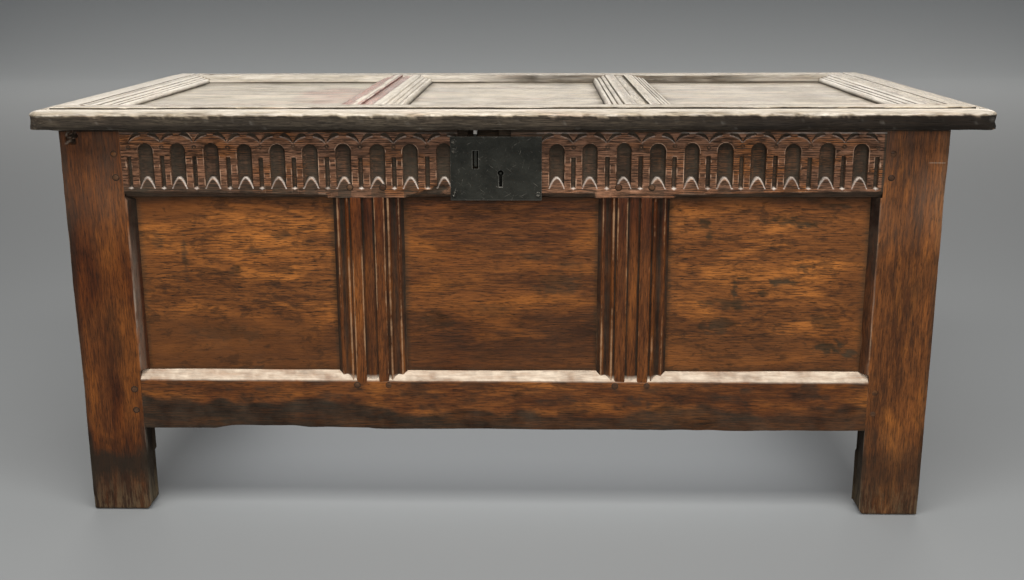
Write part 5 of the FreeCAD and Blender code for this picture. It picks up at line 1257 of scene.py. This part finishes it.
# The forged shape of a node with its edges eased, where the edges and the faces may differ in finish.
def easedIron(name, node, body, width, edges=forgedIron, faces=forgedIron):
    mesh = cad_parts[node].data.copy()
    mesh.name = name
    work = bmesh.new()
    work.from_mesh(mesh)
    bmesh.ops.remove_doubles(work, verts=work.verts, dist=1e-6)
    bmesh.ops.dissolve_limit(work, angle_limit=math.radians(1), verts=work.verts, edges=work.edges)
    work.to_mesh(mesh)
    work.free()
    mesh.materials.clear()
    piece = addPiece(name, mesh, body, [node], [faces, edges])
    bevel = piece.modifiers.new("eased", "BEVEL")
    bevel.width = width / 1000
    bevel.segments = 2
    bevel.material = 1
    bevel.use_clamp_overlap = edges is forgedIron
    bevel.limit_method = "ANGLE"
    bevel.angle_limit = math.radians(35)


def ironwork():
    easedIron("lockPlate", "lock_plate", "carcass", 0.8, edges=rubbedAndLitIron)
    easedIron("lidStaple", "lid_staple", "lid", 0.9, edges=stapleIron, faces=stapleIron)
    plateNails = [(x, heads["plateFace"], z, 1.0) for x, z in heads["nailPlaces"]]
    pegHeads("lockNailHeads", plateNails, 1, -1, "lock_nails", nailProfile, nailIron)
    for side in ("left", "right"):
        easedIron("hingeStrap" + side.capitalize(), "hinge_strap_" + side, "lid", 0.5)
        easedIron("hingeLeaf" + side.capitalize(), "hinge_leaf_" + side, "carcass", 0.5)


for build in (frontStiles, rearStiles, frontBottomRail, frontMuntins, panels, plainFrames, floorBoards, carvedRail, allPegs):
    build()
print("carcass built")
for build in (lidFrontRail, lidStiles, lidMuntins, lidRearRail, lidPanels, ironwork):
    build()
print("lid and ironwork built")

# What is left of the imported parts keeps its shape and takes a finish.
for nodeName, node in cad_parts.items():
    node.data.materials.clear()
    node.data.materials.append(oak["pegOakX"] if nodeName in ("side_pegs", "lid_pegs") else forgedIron)


# Metres and watts. A light is (place, target, size, power, colour). The camera's focal, middle and eyeLine are
# in dots, of which `across` fill its width.
stage = {"floorColour": rgb(0.288, 0.308, 0.326), "floorRoughness": 0.75, "front": -6, "reach": 9.0, "rise": 5.0,
         "bend": 1.6, "halfWidth": 12, "worldColour": (0.60, 0.63, 0.68), "worldStrength": 0.16}
lights = {
    "overhead": ((0.0, -1.25, 2.5), (0, -1.05, 0), (3.3, 0.9), 72, (1, 0.95, 0.88)),
    "frontFill": ((0.5, -4.0, 1.7), (0, 0, 0.35), (3.4, 1.6), 66, (1, 0.96, 0.91)),
    "underFill": ((0.0, -0.03, 0.128), (0, -0.029, 0.0), (1.0, 0.42), 1.1, (1, 0.98, 0.96)),
    "backCard": ((0.0, 8.7, 3.0), (0, 0, 0.6), (12.0, 4.0), 520, (1, 0.95, 0.88)),
}
camera = {"sensor": 36, "across": 1024, "focal": 1116.70, "middle": 290, "eyeLine": 253.745, "turn": 0.0247,
          "tilt": -0.2386, "roll": 0.0037, "place": (0.04308, -1.84995, 0.78385)}


# A pale floor that sweeps up behind: a quarter circle joins the flat to the wall.
def addFloor():
    reach, bend, half = stage["reach"], stage["bend"], stage["halfWidth"]
    flat = np.linspace(stage["front"], reach - bend, 12)
    turn = np.linspace(0, math.pi / 2, 14)[1:]
    y = np.concatenate([flat, reach - bend + bend * np.sin(turn), [reach]])
    z = np.concatenate([0 * flat, bend - bend * np.cos(turn), [stage["rise"]]])
    points = [(x, b, c) for b, c in zip(y, z) for x in (-half, 0, half)]
    faces = [(i * 3 + j, i * 3 + j + 1, i * 3 + j + 4, i * 3 + j + 3) for i in range(len(y) - 1) for j in range(2)]
    mesh = bpy.data.meshes.new("studioFloor")
    mesh.from_pydata(points, [], faces)
    mesh.polygons.foreach_set("use_smooth", np.ones(len(faces), bool))
    material = bpy.data.materials.new("studioFloor")
    material.use_nodes = True
    shader = material.node_tree.nodes["Principled BSDF"]
    shader.inputs["Base Color"].default_value = stage["floorColour"]
    shader.inputs["Roughness"].default_value = stage["floorRoughness"]
    mesh.materials.append(material)
    floor = bpy.data.objects.new("studioFloor", mesh)
    bpy.context.scene.collection.objects.link(floor)


def addLight(name, place, target, size, power, colour):
    data = bpy.data.lights.new(name, "AREA")
    data.shape = "RECTANGLE"
    data.size, data.size_y = size
    data.energy = power
    data.color = colour
    data.spread = math.pi
    lamp = bpy.data.objects.new(name, data)
    bpy.context.scene.collection.objects.link(lamp)
    lamp.location = place
    lamp.rotation_euler = (Vector(target) - Vector(place)).to_track_quat("-Z", "Y").to_euler()
    lamp.visible_camera = False


def addWorld():
    world = bpy.data.worlds.new("studio")
    bpy.context.scene.world = world
    world.use_nodes = True
    background = world.node_tree.nodes["Background"]
    background.inputs[0].default_value = (*stage["worldColour"], 1)
    background.inputs[1].default_value = stage["worldStrength"]


def addCamera():
    own = camera
    data = bpy.data.cameras.new("camera")
    data.sensor_width = own["sensor"]
    data.lens = own["focal"] / own["across"] * own["sensor"]
    data.shift_y = -(own["middle"] - own["eyeLine"]) / own["across"]
    piece = bpy.data.objects.new("camera", data)
    bpy.context.scene.collection.objects.link(piece)
    turn = Matrix.Rotation(own["turn"], 4, "Z") @ Matrix.Rotation(own["tilt"], 4, "X") @ Matrix.Rotation(own["roll"], 4, "Y")
    piece.matrix_world = Matrix.Translation(own["place"]) @ turn @ Matrix.Rotation(math.pi / 2, 4, "X")
    bpy.context.scene.camera = piece


addFloor()
addWorld()
addCamera()
for name, values in lights.items():
    addLight(name, *values)
bpy.context.scene.view_settings.view_transform = "Standard"
print("stage set")
